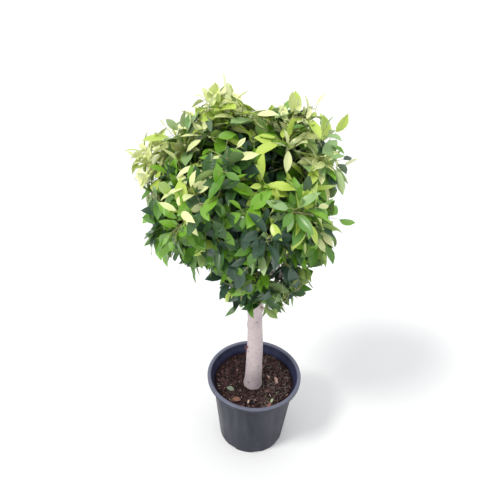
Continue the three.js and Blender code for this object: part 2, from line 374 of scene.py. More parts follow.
def middle_line(name, tip_near, back, steps):
    """Middle line of a CAD limb that ends near tip_near: x, y and z as cubics of the distance along its
    chord, fitted by least squares to all its corners, and carried back past its start by a length."""
    points = node_points(name)
    tip = points[np.argmin(np.linalg.norm(points - tip_near, axis=1))]
    start = points[np.argmax(np.linalg.norm(points - tip, axis=1))]
    chord = tip - start
    share = (points - start) @ chord / (chord @ chord)
    cubic = np.linalg.lstsq(np.vander(share, 4), points, rcond=None)[0]
    return np.vander(np.linspace(-back / np.linalg.norm(chord), 1, steps), 4) @ cubic


def skin_reach(skin, middle, ways, sharpness=60.0, power=1):
    """Distance from a middle to a skin along each unit way: the mean of its corners' distances to a power,
    weighted by exp(sharpness x (cosine of the angle between corner and way - 1)). With a high power the
    outermost corner in each direction counts most."""
    offsets = skin - middle
    distance = np.linalg.norm(offsets, axis=1)
    weight = np.exp(sharpness * (ways @ (offsets / distance[:, None]).T - 1))
    return (weight @ distance ** power / weight.sum(axis=1)) ** (1 / power)


skins = {name: node_points(name) for name in masses}
middles = {name: skin.mean(axis=0) for name, skin in skins.items()}
head_skin = np.concatenate(list(skins.values()))
head_low, head_high = head_skin.min(axis=0), head_skin.max(axis=0)
head_middle = (head_low + head_high) / 2
head_middle[2] = head_low[2] + HEAD_MIDDLE * (head_high[2] - head_low[2])


def head_reach(points):
    """Distance from the head's middle to its outside beyond each point, over the corners of all masses."""
    return skin_reach(head_skin, head_middle, unit(points - head_middle), 150.0, 12)


def head_share(points):
    """Each point's height as a share of the head's, from 0 at its lowest point to 1 at its highest."""
    return (points[..., 2] - head_low[2]) / (head_high[2] - head_low[2])


print(f"head {np.round(head_high - head_low, 3)} m about {np.round(head_middle, 3)}")

# %% [markdown]
# ## Stem, boughs and limbs
#
# The bark of a young fig is pale, smooth and slightly lilac, with small raised pores, a few knots where
# shoots were rubbed off, and a collar round the foot of each bough. The relief could be sculpted, but a fine
# grid whose radius is a function of height and angle gives the same shape and stays exact: the stem's radius
# is the CAD's, smoothed, times slow ripples, plus a bell-shaped bump for each knot.

# %% The stem's surface
STEM_ROWS = 220
STEM_SIDES = 96
DOME_ROWS = 14
STEM_SUNK = 0.010
STEM_EASE = 7
SHAFT_TOP = 0.532
RIPPLE = 0.022
FLARE = 0.03
FLARE_HEIGHT = 0.016
KNOTS = [
    # height, angle in degrees (0 is +X, -90 faces the camera), width, bulge
    (0.232, -120, 0.007, 0.0012),
    (0.300, -60, 0.006, 0.0013),
    (0.318, 150, 0.009, 0.0016),
    (0.352, -142, 0.006, 0.0012),
    (0.395, -35, 0.005, 0.0010),
    (0.442, -172, 0.009, 0.0022),
    (0.470, -75, 0.005, 0.0010),
    (0.506, -22, 0.010, 0.0032),
    (0.522, -105, 0.008, 0.0018),
    (0.410, 70, 0.008, 0.0016),
    (0.270, 40, 0.007, 0.0014),
]

stem_corners = node_points("stem")
levels = np.unique(stem_corners[:, 2].round(4))
at_level = [stem_corners[np.abs(stem_corners[:, 2] - level) < 1e-4] for level in levels]
level_middle = np.array([(ring.min(axis=0) + ring.max(axis=0)) / 2 for ring in at_level])
level_radius = np.array([np.ptp(ring[:, 0]) / 2 for ring in at_level])
shaft_top = levels[np.argmax(levels > SHAFT_TOP)]
dome_radius = float(np.interp(shaft_top, levels, level_radius))


def smoothed(values, width):
    """Each value becomes the mean of its neighbours under a bell of the given width, in rows."""
    reach = np.arange(-3 * width, 3 * width + 1)
    bell = np.exp(-0.5 * (reach / width) ** 2)
    padded = np.pad(values, 3 * width, mode="reflect", reflect_type="odd")
    return np.convolve(padded, bell / bell.sum(), mode="valid")


shaft_rows = STEM_ROWS - DOME_ROWS
shaft = np.linspace(levels[0] - STEM_SUNK, shaft_top, shaft_rows)
dome = np.linspace(0, np.pi / 2, DOME_ROWS + 1)[1:-1]
heights = np.concatenate([shaft, shaft_top + dome_radius * np.sin(dome)])
shaft_radius = smoothed(np.interp(shaft, levels, level_radius), STEM_EASE)
radius = np.concatenate([shaft_radius, dome_radius * np.cos(dome)])
sideways = smoothed(np.interp(heights, levels, level_middle[:, 0]), STEM_EASE)

angles = np.arange(STEM_SIDES) * 2 * np.pi / STEM_SIDES
up = heights[:, None]
round_ = angles[None, :]
ripple = (
    0.45 * np.sin(2 * round_ + 21 * up)
    + 0.30 * np.sin(3 * round_ - 34 * up + 1.3)
    + 0.25 * np.sin(5 * round_ + 55 * up + 0.4)
    + 0.20 * np.sin(7 * round_ - 90 * up)
)
root_flare = FLARE * np.exp(-(up - levels[0]) / FLARE_HEIGHT) * (1 + 0.5 * np.sin(4 * round_ + 0.8))
surface_radius = radius[:, None] * (1 + RIPPLE * ripple + root_flare)
scar = np.zeros_like(surface_radius)
for height, degrees, width, bulge in KNOTS:
    turn = (round_ - math.radians(degrees) + np.pi) % (2 * np.pi) - np.pi
    away = np.hypot(up - height, turn * radius[:, None]) / width
    surface_radius += bulge * (np.exp(-away ** 2) - 0.9 * np.exp(-(2.6 * away) ** 2))
    scar = np.maximum(scar, np.exp(-(1.9 * away) ** 2))

stem_rings = np.stack(
    [sideways[:, None] + surface_radius * np.cos(round_), surface_radius * np.sin(round_), up + 0 * round_],
    axis=-1,
)
stem_shape = capped(stem_rings, [sideways[0], 0, heights[0]], [sideways[-1], 0, shaft_top + dome_radius])
stem_scar = np.concatenate([scar.ravel(), [0, 0]])
print(f"stem {2000 * radius[0]:.0f} mm thick at the soil, {2000 * radius[-DOME_ROWS]:.0f} mm at the fork")

# %% [markdown]
# The boughs and limbs are swept tubes on the CAD's middle lines. Each starts a little inside its parent and
# is thicker there, for the collar, and each bough ends in the knuckle that its limbs spring from. A slow
# wave in the radius keeps them from looking like drawn wire.

# %% Boughs and limbs
BOUGH_RADIUS = (0.0076, 0.0056)
LIMB_RADIUS = (0.0042, 0.0018)
BOUGH_COLLAR = 0.0040
LIMB_COLLAR = 0.0016
COLLAR_LENGTH = 0.012
KNUCKLE_SWELL = 0.0036
KNUCKLE_PLACE = 0.009
KNUCKLE_LENGTH = 0.010
BACK_INTO_STEM = 0.012
BACK_INTO_KNUCKLE = 0.010
BOUGH_STEPS = 42
LIMB_STEPS = 26
wood_random = np.random.default_rng(11)


def limb_radii(lines, first, last, collar):
    """Radius along each line: first to last in a straight taper, a collar that fades from the start, and a
    slow wave of a few per cent."""
    run = np.linalg.norm(np.diff(lines, axis=1), axis=2).cumsum(axis=1)
    run = np.concatenate([np.zeros((len(lines), 1)), run], axis=1)
    share = run / run[:, -1:]
    wave = np.sin(run * 260 + wood_random.uniform(0, 6.3, (len(lines), 1)))
    return (first + (last - first) * share) * (1 + 0.05 * wave) + collar * np.exp(-run / COLLAR_LENGTH)


stem_top = np.array([sideways[-1], 0, shaft_top])
bough_lines = []
for name in boughs:
    corners = node_points(name)
    tip = corners[np.argmax(np.linalg.norm(corners - stem_top, axis=1))]
    bough_lines.append(middle_line(name, tip, BACK_INTO_STEM, BOUGH_STEPS))
bough_lines = np.array(bough_lines)
limb_lines = np.array(
    [middle_line(limb, middles[mass], BACK_INTO_KNUCKLE, LIMB_STEPS) for limb, mass in zip(limbs, masses)]
)

bough_radii = limb_radii(bough_lines, *BOUGH_RADIUS, BOUGH_COLLAR)
bough_length = np.linalg.norm(bough_lines[:, -1] - bough_lines[:, 0], axis=1)[:, None]
from_end = np.linspace(1, 0, BOUGH_STEPS) * bough_length
bough_radii += KNUCKLE_SWELL * np.exp(-((from_end - KNUCKLE_PLACE) / KNUCKLE_LENGTH) ** 2)
bough_shape = sweep(bough_lines, bough_radii, 24)
limb_shape = sweep(limb_lines, limb_radii(limb_lines, *LIMB_RADIUS, LIMB_COLLAR), 14)
print(f"{len(bough_lines)} boughs and {len(limb_lines)} limbs on the CAD's middle lines")

# %% [markdown]
# On the right of the stem, just below the fork, a twig was snapped off and left a short broken stub. It is
# one more swept tube, whose radius wanders from ring to ring, and whose end is sunk in for the break.

# %% The broken stub
STUB_HEIGHT = 0.506
STUB_ANGLE = math.radians(-22)
STUB_LENGTH = 0.011
STUB_STEPS = 9
STUB_SCAR = 0.75
stub_way = np.array([math.cos(STUB_ANGLE) * 0.9, math.sin(STUB_ANGLE) * 0.9, 0.42])
stub_start = np.array([np.interp(STUB_HEIGHT, heights, sideways), 0, STUB_HEIGHT])
stub_start = stub_start + stub_way * np.array([0.019, 0.019, 0.0])
stub_line = (stub_start + stub_way * np.linspace(0, STUB_LENGTH, STUB_STEPS)[:, None])[None]
stub_radii = taper(stub_line, 0.0038, 0.0026) * (1 + 0.10 * np.sin(np.arange(STUB_STEPS) * 2.1))
stub_shape = sweep(stub_line, stub_radii, 12, end_length=-0.8)
bark_shape = joined(stem_shape, bough_shape, limb_shape, stub_shape)
bark_scar = np.zeros(len(bark_shape[0]))
bark_scar[: len(stem_scar)] = stem_scar
bark_scar[-len(stub_shape[0]):] = STUB_SCAR
print(f"bark skin of {len(bark_shape[0])} corners, {int((bark_scar > 0.1).sum())} of them on scars")

# %% [markdown]
# ## The bark's finish
#
# Three things give this bark its look: slow drifts between a warm cream and a cool lilac grey, fine dark
# specks, and faint raised pores that are wider than they are tall. Stretching the coordinates with a Mapping
# node before a Voronoi texture makes the wide pores. The knots carry their own attribute, painted on the mesh
# when it was made, and it mixes in the brown of a scar.

# %% Bark finish
SPECK_SHARE = 0.52
PORE_SHARE = 0.45
SCAR_SHARE = 0.60
PORE_STRETCH = 3.2
bark, tree, shader, place = new_finish("pale_bark")
cream = screen_colour(224, 208, 208)
lilac = screen_colour(206, 190, 196)
speck = screen_colour(140, 122, 122)
scar_brown = screen_colour(88, 62, 52)
ground = mix_colour(tree, mottle(tree, place, 26.0, 0.0, 1.0), cream, lilac)
specks = mottle(tree, place, 620.0, -1.6, 1.4, 2.0)
specks = node(tree, "ShaderNodeClamp", {"Value": specks}).outputs["Result"]
speckled = mix_colour(tree, maths(tree, "MULTIPLY", specks, SPECK_SHARE), ground, speck)
wide = stretched(tree, place, PORE_STRETCH)
pore = node(tree, "ShaderNodeTexVoronoi", {"Vector": wide, "Scale": 95.0}).outputs["Distance"]
pored = mix_colour(tree, remap(tree, pore, 0.10, 0.30, PORE_SHARE, 0.0), speckled, speck)
painted = node(tree, "ShaderNodeAttribute", attribute_name="scar").outputs["Fac"]
finished = mix_colour(tree, maths(tree, "MULTIPLY", painted, SCAR_SHARE), pored, scar_brown)
inputs = {
    "Base Color": finished,
    "Roughness": mottle(tree, place, 60.0, 0.62, 0.82),
    "Specular IOR Level": 0.35,
    "Normal": relief(tree, grain(tree, wide, 300.0, 0.35), 0.0012),
}
set_inputs(tree, shader, inputs)
make_piece("bark", bark_shape, [bark], ("stem", *boughs, *limbs), layers={"scar": bark_scar})

# %% [markdown]
# A third of the way up, on the left, a dry brown bud scale still clings to the stem. It is three narrow
# tubes that taper to nothing and curl away from the bark.

# %% The dry bud scale
BUD_FOOT = np.array([(-0.0215, -0.010, 0.366)] * 3)
BUD_ENDS = np.array([(-0.0330, -0.016, 0.372), (-0.0318, -0.014, 0.359), (-0.0285, -0.020, 0.350)])
BUD_BEND = np.array([-0.003, -0.003, 0.005])
bud_lines = bent_lines(BUD_FOOT, (BUD_FOOT + BUD_ENDS) / 2 + BUD_BEND, BUD_ENDS, 8)
bud_finish = dull_finish("dry_bud_scale", (128, 82, 78), 0.8, 400.0, 700.0, 0.4, 0.0004)
bud_shape = sweep(bud_lines, taper(bud_lines, 0.0014, 0.0005), 7)
make_piece("bud_scale", bud_shape, [bud_finish], ("stem",))

# %% [markdown]
# ## Growing the twigs
#
# Twigs could be drawn by hand, but a plant of this size has over six hundred, and they follow a rule. In each
# mass a leader grows on from the limb's tip, past the middle. Branches leave the leader, early for places
# near the limb and late for far ones, and run to places spread evenly over the mass. Shoots leave the outer
# part of each branch, turned on by the golden angle, about 137.5 degrees, each from the last, as buds are on
# a real shoot. Shoots high in the head rise to the light and low ones hang. Random numbers come from a
# seeded generator, so the plant grows the same each time.

# %% The growing rule
GOLDEN = math.pi * (3 - math.sqrt(5))
BRANCHES = 10.5
FULL_SIZE = 0.130
FEWEST_BRANCHES = 6
BRANCH_REACH = 0.72
BRANCH_BEND = 0.45
BRANCH_JOG = 0.10
LEADER_PAST = 0.30
LEADER_BEND = 0.6
SHOOTS = 4
SHOOT_PLACES = (0.42, 1.0)
SHOOT_LENGTH = (0.050, 0.098)
SHOOT_OUTWARD = (0.15, 0.95)
SHOOT_LIFT = np.array([0, 0, 0.60])
SHOOT_SAG = np.array([0, 0, -0.10])
TWIG_STEPS = 8
LEAF_ROOM = (0.014, 0.048)


def even_ways(count, random):
    """Unit vectors spread evenly over a sphere on a golden spiral, then jogged and turned at random."""
    z = 1 - (2 * np.arange(count) + 1) / count
    turn = GOLDEN * np.arange(count) + random.uniform(0, 2 * np.pi)
    flat = np.sqrt(1 - z * z)
    spiral = np.stack([flat * np.cos(turn), flat * np.sin(turn), z], axis=1)
    return unit(spiral + random.normal(0, 0.22, spiral.shape))


def points_along(lines, share):
    """Points and tangents at the given shares (lines, places) of each line's steps."""
    place = share * (lines.shape[1] - 1)
    low = np.clip(place.astype(int), 0, lines.shape[1] - 2)
    part = (place - low)[..., None]
    pick = np.arange(len(lines))[:, None]
    ahead, behind = lines[pick, low + 1], lines[pick, low]
    return behind * (1 - part) + ahead * part, unit(ahead - behind)


def ways_around(lines, turn):
    """Unit directions square to each line at its middle, turned round it by the angles (lines, places)."""
    _, side, other = cross_axes(lines)
    step = lines.shape[1] // 2
    return side[:, step, None] * np.cos(turn)[..., None] + other[:, step, None] * np.sin(turn)[..., None]


def rise(points, level=0.55):
    """How strongly growth turns up (1) or hangs down (-1): a smooth step about a level, which is a share of
    the head's height."""
    return np.tanh((head_share(points) - level) * 3.2)


def branch_count(skin, middle):
    """More branches for a larger mass: in proportion to the power 1.5 of its mean radius."""
    size = np.linalg.norm(skin - middle, axis=1).mean() / FULL_SIZE
    return max(FEWEST_BRANCHES, round(BRANCHES * size ** 1.5))


def leaf_room(points):
    """Room kept between the end of a shoot and the outside of the head, for its leaves: the least above and
    the most below, where leaves hang, by the cosine of the way down."""
    down = np.clip(unit(points - head_middle)[..., 2] * -1.25, 0, 1)
    return LEAF_ROOM[0] + (LEAF_ROOM[1] - LEAF_ROOM[0]) * down


def grow(mass, line, random):
    """The leader, branches and shoots of one mass, grown on from its limb's line."""
    middle, skin = middles[mass], skins[mass]
    tip, heading = line[-1], unit(line[-1] - line[-3])
    span = np.linalg.norm(middle - tip)
    goal = middle + (middle - tip) * LEADER_PAST
    leader = bent_lines(tip[None], (tip + heading * LEADER_BEND * span)[None], goal[None], TWIG_STEPS)

    count = branch_count(skin, middle)
    ways = even_ways(count, random)
    ends = middle + ways * (skin_reach(skin, middle, ways) * BRANCH_REACH)[:, None]
    along = (ends - tip) @ (goal - tip) / ((goal - tip) @ (goal - tip))
    leave = np.clip(0.75 * along - 0.12, 0.02, 0.95)
    steps = np.linspace(0, 1, TWIG_STEPS)
    starts = np.stack([np.interp(leave, steps, leader[0, :, axis]) for axis in range(3)], axis=1)
    length = np.linalg.norm(ends - starts, axis=1, keepdims=True)
    slopes = np.gradient(leader[0], axis=0)
    onward = unit(np.stack([np.interp(leave, steps, slopes[:, axis]) for axis in range(3)], axis=1))
    jog = random.normal(0, BRANCH_JOG, ends.shape) * length
    branches = bent_lines(starts, starts + onward * BRANCH_BEND * length + jog, ends, TWIG_STEPS)

    share = np.linspace(*SHOOT_PLACES, SHOOTS)[None, :] + random.uniform(-0.07, 0.0, (count, SHOOTS))
    root, tangent = points_along(branches, share)
    turn = GOLDEN * np.arange(SHOOTS)[None, :] + random.uniform(0, 6.3, (count, 1))
    spread = np.where(np.arange(SHOOTS) == SHOOTS - 1, 0.15, 0.85)[None, :, None]
    outward = unit(root - head_middle) * random.uniform(*SHOOT_OUTWARD, (count, SHOOTS, 1))
    lift = rise(root)[..., None] * SHOOT_LIFT
    heading = unit(0.45 * tangent + spread * ways_around(branches, turn) + outward + lift)
    length = random.uniform(*SHOOT_LENGTH, (count, SHOOTS, 1))
    end = (root + heading * length).reshape(-1, 3)
    distance = np.linalg.norm(end - head_middle, axis=1)
    most = head_reach(end) - leaf_room(end)
    end = head_middle + (end - head_middle) * np.minimum(1, most / distance)[:, None]
    root, tangent = root.reshape(-1, 3), tangent.reshape(-1, 3)
    reach = np.linalg.norm(end - root, axis=1, keepdims=True)
    bend = root + (0.5 * tangent + rise(end)[:, None] * SHOOT_SAG) * reach + 0.25 * (end - root)
    return leader, branches, bent_lines(root, bend, end, TWIG_STEPS)


grown = [
    grow(mass, line, np.random.default_rng([7, number]))
    for number, (mass, line) in enumerate(zip(masses, limb_lines))
]
leaders, branches, shoots = (np.concatenate(part) for part in zip(*grown))
print(f"{len(leaders)} leaders, {len(branches)} branches and {len(shoots)} shoots")

# %% [markdown]
# The boughs and limbs carry short shoots too. They keep their old dark leaves, and close the view into the
# head from below.

# %% Inner shoots
INNER_SHOOT = 0.055
INNER_PLACES = np.array([0.40, 0.60, 0.78, 0.94])
INNER_WAY = np.array([0, 0, -0.15])
INNER_BEND = np.array([0, 0, 0.006])
bough_steps = np.linspace(0, BOUGH_STEPS - 1, LIMB_STEPS).astype(int)
wood = np.concatenate([bough_lines[:, bough_steps], limb_lines])
wood_places = np.broadcast_to(INNER_PLACES, (len(wood), len(INNER_PLACES)))
inner_root, tangent = points_along(wood, wood_places)
turn = GOLDEN * np.arange(wood_places.size).reshape(wood_places.shape)
inner_way = unit(0.5 * tangent + ways_around(wood, turn) + INNER_WAY).reshape(-1, 3)
inner_root = inner_root.reshape(-1, 3)
inner_end = inner_root + inner_way * INNER_SHOOT
inner_shoots = bent_lines(inner_root, (inner_root + inner_end) / 2 + INNER_BEND, inner_end, TWIG_STEPS)
shoots = np.concatenate([shoots, inner_shoots])
print(f"{len(inner_shoots)} inner shoots")

# %% [markdown]
# An unclipped head also has a few shoots that have run on past the others. They give the outline its points,
# so each is set by the place where it ends, and leaves the branch that passes nearest to a point some way in
# from there, on the line to the middle of the head.

# %% Long shoots
LONG_SHOOT = 0.095
LONG_SAG = np.array([0, 0, -0.012])
LONG_ENDS = np.array(
    [
        # x, y, z: down the left side, then the bottom, up the right side and over the top
        (-0.225, 0.00, 1.010), (-0.190, -0.02, 1.020), (-0.165, 0.02, 1.030), (-0.290, 0.00, 0.930),
        (-0.275, 0.00, 0.810), (-0.270, -0.02, 0.712), (-0.222, -0.03, 0.700), (-0.166, -0.04, 0.680),
        (-0.046, -0.05, 0.565), (0.024, -0.05, 0.580), (0.108, -0.05, 0.672), (0.165, -0.02, 0.735),
        (0.168, 0.00, 0.770), (0.176, 0.00, 0.800), (0.172, 0.00, 0.935), (0.150, 0.02, 1.010),
        (0.128, 0.00, 1.035), (0.100, 0.02, 1.060), (-0.112, 0.00, 1.068), (-0.084, 0.01, 1.086),
        (0.052, 0.00, 1.062),
    ]
)
inner = LONG_ENDS + unit(head_middle - LONG_ENDS) * LONG_SHOOT
near = branches[:, 2:].reshape(-1, 3)
nearest = np.argmin(np.linalg.norm(inner[:, None] - near[None], axis=2), axis=1)
long_start = near[nearest]
long_bend = (long_start + LONG_ENDS) / 2 + rise(LONG_ENDS)[:, None] * LONG_SAG
shoots = np.concatenate([shoots, bent_lines(long_start, long_bend, LONG_ENDS, TWIG_STEPS)])
print(f"{len(LONG_ENDS)} long shoots")

# %% [markdown]
# ## Twig wood
#
# Older twigs are pale tan and woody. The shoots that carry leaves are younger and still greenish. They differ
# in age and not in make, so one sweep serves both, and each age is one joined piece with its own finish.

# %% Twig pieces
TWIG_GRAIN = (180.0, 700.0, 0.4, 0.0003)
old_wood = dull_finish("twig_old", (186, 168, 140), 0.75, *TWIG_GRAIN)
young_wood = dull_finish("twig_young", (168, 172, 108), 0.60, *TWIG_GRAIN)
old_shape = joined(
    sweep(leaders, taper(leaders, 0.0019, 0.0012), 7), sweep(branches, taper(branches, 0.0014, 0.0009), 6)
)
make_piece("twigs_old", old_shape, [old_wood], masses)
make_piece("twigs_young", sweep(shoots, taper(shoots, 0.0010, 0.0006), 5), [young_wood], masses)

# %% [markdown]
# ## One leaf
#
# Most leaves of this fig are 30 to 65 mm long: an ellipse that runs out to a short point, folded a little
# along the midrib and arched along the length. A flat card with a cut-out image would be cheap, but it would
# look like paper from the side. So each leaf is a real blade: a few corners, each known by its share along
# the midrib (u) and its share of the half width to the side (v). The upper and lower skins meet at the
# margin, which lets the paler underside have its own finish. A narrow raised strip is the midrib.

# %% The leaf's corners and faces
LEAF_ROWS = np.array([0.07, 0.25, 0.48, 0.71, 0.88])
LEAF_COLUMNS = np.array([-1.0, -0.5, 0.0, 0.5, 1.0])
RIB_ROWS = np.array([0.0, 0.22, 0.45, 0.68, 0.90])


def leaf_template():
    """Corners of one leaf as (u, v, layer), where layer is 1 on top, -1 below and 2 on the midrib strip, and
    its faces. Each skin is a grid closed at both ends by a fan to the base and to the tip, and cut in
    triangles, so that the lower skin folds along the same lines as the upper one."""
    u, v = np.meshgrid(LEAF_ROWS, LEAF_COLUMNS, indexing="ij")
    skin = np.concatenate([[[0, 0]], np.stack([u.ravel(), v.ravel()], axis=1), [[1, 0]]])
    count, columns = len(skin), len(LEAF_COLUMNS)
    quads = grid_quads(len(LEAF_ROWS), columns, False) + 1
    row = np.arange(columns - 1)
    last = count - 1 - columns
    base = np.stack([np.zeros(columns - 1, int), row + 1, row + 2], axis=1)
    tip = np.stack([np.full(columns - 1, count - 1), last + row + 1, last + row], axis=1)
    top = np.concatenate([quads[:, [0, 3, 2]], quads[:, [0, 2, 1]], base, tip])
    rib_u, rib_v = np.meshgrid(RIB_ROWS, [-1.0, 1.0], indexing="ij")
    rib = np.stack([rib_u.ravel(), rib_v.ravel()], axis=1)
    rib_quads = grid_quads(len(RIB_ROWS), 2, False)[:, ::-1] + 2 * count
    layer = np.repeat([1, -1, 2], [count, count, len(rib)])
    return np.concatenate([skin, skin, rib]), layer, [top, top[:, ::-1] + count, rib_quads]


leaf_corners, leaf_layer, leaf_faces = leaf_template()
print(f"one leaf: {len(leaf_corners)} corners, {sum(len(part) for part in leaf_faces)} faces")

# %% [markdown]
# The blade's shape is a formula in u and v. Its half width is a sine arch, squeezed towards the tip so that
# it ends in a point. Across, it is lifted by the fold. Along, it drops with the square of u, for the arch,
# and the margins wave. Three directions then set the leaf in space: along the midrib, across it, and up out
# of the blade.

# %% The leaf's shape
LEAF_THICKNESS = 0.00045
RIB_WIDTH = 0.00045
RIB_RISE = 0.00020


def leaf_outline(u):
    """Half width as a share of the widest: sin(pi u^0.92)^0.74, narrowed by up to 42% over the last fifth."""
    arch = np.sin(np.pi * np.clip(u, 0, 1) ** 0.92) ** 0.74
    last = np.clip((u - 0.76) / 0.24, 0, 1)
    return arch * (1 - 0.42 * last * last * (3 - 2 * last))


def leaf_points(base, along, up, length, width, fold, arch, wave):
    """Corners of many leaves, (leaves, corners, 3): base + length u along + half width v across, and up out
    of the blade by fold x distance from the midrib - arch x length x u^2 + wave at the margin."""
    u, v = leaf_corners[:, 0], leaf_corners[:, 1]
    across = np.cross(up, along)
    half = width[:, None] / 2 * leaf_outline(u)
    is_rib = leaf_layer == 2
    side = np.where(is_rib, RIB_WIDTH * (1 - 0.6 * u) * v, half * v)
    margin = wave[:, None] * half * np.abs(v) * np.sin(9 * u + 2 * v + 40 * length[:, None])
    lift = fold[:, None] * np.abs(side) - arch[:, None] * length[:, None] * u * u + margin * (~is_rib)
    lift = lift + np.where(is_rib, RIB_RISE, 0) - np.where(leaf_layer == -1, LEAF_THICKNESS, 0) * (1 - v * v)
    forward = length[:, None] * (u - 0.35 * arch[:, None] ** 2 * u * u)
    steps = zip((forward, side, lift), (along, across, up))
    return base[:, None] + sum(size[..., None] * way[:, None] for size, way in steps)


# %% [markdown]
# ## Setting the leaves
#
# Leaves stand one by one up each shoot, each turned on from the last by the golden angle, on a short stalk.
# They turn their upper sides to the light, so a blade's upward direction leans to the sky and away from the
# middle of the head. Near the top the leaves stand up with their shoots, and lower down they hang.

# %% Where the leaves go
LEAVES_A_SHOOT = 9
FIRST_LEAF = 0.22
LAID_FLAT = (0.0, 0.60)
STALK_LENGTH = (0.007, 0.013)
LEAF_LENGTH = (0.029, 0.066)
LEAF_SLENDER = (0.40, 0.52)
# each as (the last leaf on a shoot, every other leaf)
ONWARD = (0.90, 0.40)
SIDEWARD = (0.20, 0.85)
SHAKE = (0.4, 1.0)
LEAF_SKY = np.array([0, 0, 0.80])
LEAF_PULL = np.array([0, 0, 0.62])
leaf_random = np.random.default_rng(19)

sprays = np.concatenate([shoots, branches])
count = len(sprays)
leaf_number = np.arange(LEAVES_A_SHOOT)[None]
leaf_grid = (count, LEAVES_A_SHOOT)
share = np.linspace(FIRST_LEAF, 1.0, LEAVES_A_SHOOT) + leaf_random.uniform(-0.06, 0.0, leaf_grid)
leaf_root, shoot_way = points_along(sprays, share)
around = ways_around(sprays, GOLDEN * leaf_number + leaf_random.uniform(0, 6.3, (count, 1)))
is_last = leaf_number == LEAVES_A_SHOOT - 1
onward, sideward, shake = (np.where(is_last, *pair)[..., None] for pair in (ONWARD, SIDEWARD, SHAKE))
up_pull = rise(leaf_root, 0.64)[..., None]
away = unit(leaf_root - head_middle)
jitter = leaf_random.normal(0, 0.27, leaf_root.shape) * shake
leaf_way = onward * shoot_way + sideward * around + up_pull * LEAF_PULL + jitter
outward_part = (leaf_way * away).sum(axis=-1, keepdims=True)
laid_flat = leaf_random.uniform(*LAID_FLAT, outward_part.shape) * (1 - np.clip(up_pull, 0, 1))
leaf_way = unit(leaf_way - laid_flat * outward_part * away)
light = unit(0.75 * away + LEAF_SKY + leaf_random.normal(0, 0.50, leaf_root.shape))
leaf_up = unit(light - (light * leaf_way).sum(axis=-1, keepdims=True) * leaf_way)
stalk_length = leaf_random.uniform(*STALK_LENGTH, (count, LEAVES_A_SHOOT, 1))
stalk_end = leaf_root + unit(leaf_way + 0.5 * around) * stalk_length
print(f"{count} sprays with room for {share.size} leaves")

# %% [markdown]
# Not every leaf has room. The head keeps the outline of its masses, so a leaf is only kept if its tip is in
# one of them, or hardly outside. The dip between the two tufts on top stays open, and the leaves right on top
# are thinner, so the sky shows between them. The shoots that run on past the others keep all their leaves.

# %% Leaves that have room
MASS_ROOM = (-0.004, 0.020)
INNER_ROOM = 0.026
OPEN_TOP = 0.45
SADDLE_PLACE = (-0.024, 1.058)
SADDLE_RISE = 20.0
SADDLE_FALL = 0.32
EXTRA_ROOM = {
    "left_tuft": -0.006, "back_top": -0.014, "front_top": -0.014, "right_shoulder": 0.010,
    "left_shoulder": 0.006, "left_low": 0.012, "right_low": 0.006, "front_skirt": -0.014,
    "back_skirt": -0.008, "right_spray": -0.014,
}


def in_a_mass(points, room):
    """Whether each point is inside the skin of any mass, or within room of it: its distance from the mass's
    middle against the skin's distance the same way."""
    inside = np.zeros(len(points), bool)
    for mass in masses:
        offset = points - middles[mass]
        extra = EXTRA_ROOM.get(mass.removeprefix("foliage_"), 0.0)
        limit = skin_reach(skins[mass], middles[mass], unit(offset)) + room + extra
        inside |= np.linalg.norm(offset, axis=1) < limit
    return inside


def under_saddle(points):
    """Whether each point is under the dip between the two tufts: a trough along Y whose floor rises with the
    square of the distance from its line, and falls towards the back."""
    floor_height = SADDLE_PLACE[1] + SADDLE_RISE * (points[:, 0] - SADDLE_PLACE[0]) ** 2
    return points[:, 2] + SADDLE_FALL * points[:, 1] < floor_height


def ramp(values, start, span):
    """0 before start, 1 past start + span, and a straight rise between them."""
    return np.clip((values - start) / span, 0, 1)


# %% [markdown]
# ## Dealing out the greens
#
# A fig's new leaves are lime, and they turn mid green, then a deep bluish green as they age. So the colour
# goes by spray: sprays high on the outside are mostly lime and yellow green, the outside of the front and
# sides is fresh green, and the shaded inside keeps its old dark leaves. The lean to lime, yellow green and
# the pale grey green high up and on the upper sides is partly new growth and partly painted light, and the
# lime is lighter than a real leaf, as painted light through and on the top leaves. The pale grey green is a
# painted sheen, and the lean to the deep greens low in the head is painted shade. Each green is a plain
# colour on its own joined piece, and which spray gets which is a weighted draw. The lowest leaves of each
# spray are the oldest, so some of those have gone on to the green that comes next with age.

# %% Which green each spray has
TOP_START, TOP_SPAN = 0.70, 0.20
RIM_START, RIM_SPAN = 0.46, 0.24
RIM_LEVEL, RIM_RISE = 0.54, 0.14
SHADE_LEVEL, SHADE_FALL = 0.52, -0.30
# how far the upper sides lean to lime: partly new growth, partly painted light
RIM_GROWTH_AND_LIGHT = 0.85
OLDER = np.array([1, 2, 4, 4, 5, 6, 6, 3])
OLD_SHARE = (0.60, 0.05)
GREENS = {
    # top colour, underside colour, roughness, share of coat
    # the lime is lighter than a real leaf: painted light through and on the top leaves
    "lime": ((238, 244, 176), (241, 245, 202), 0.42, 0.16),
    "yellow_green": ((194, 218, 94), (212, 224, 146), 0.36, 0.26),
    "fresh": ((120, 174, 42), (164, 192, 100), 0.32, 0.32),
    # painted sheen: a pale grey green for the sheen on glossy leaves
    "painted_sheen": ((152, 186, 122), (180, 202, 146), 0.32, 0.30),
    "mid": ((92, 142, 46), (140, 168, 92), 0.34, 0.30),
    "deep": ((58, 98, 42), (106, 134, 80), 0.32, 0.32),
    "blue": ((58, 88, 68), (98, 122, 94), 0.32, 0.32),
    "yellow": ((218, 216, 112), (222, 220, 150), 0.48, 0.08),
}
shoot_end = sprays[:, -1]
distance = np.linalg.norm(shoot_end - head_middle, axis=1)
outward = ramp(distance / (head_reach(shoot_end) - leaf_room(shoot_end)), 0.60, 0.35)
high = head_share(shoot_end)
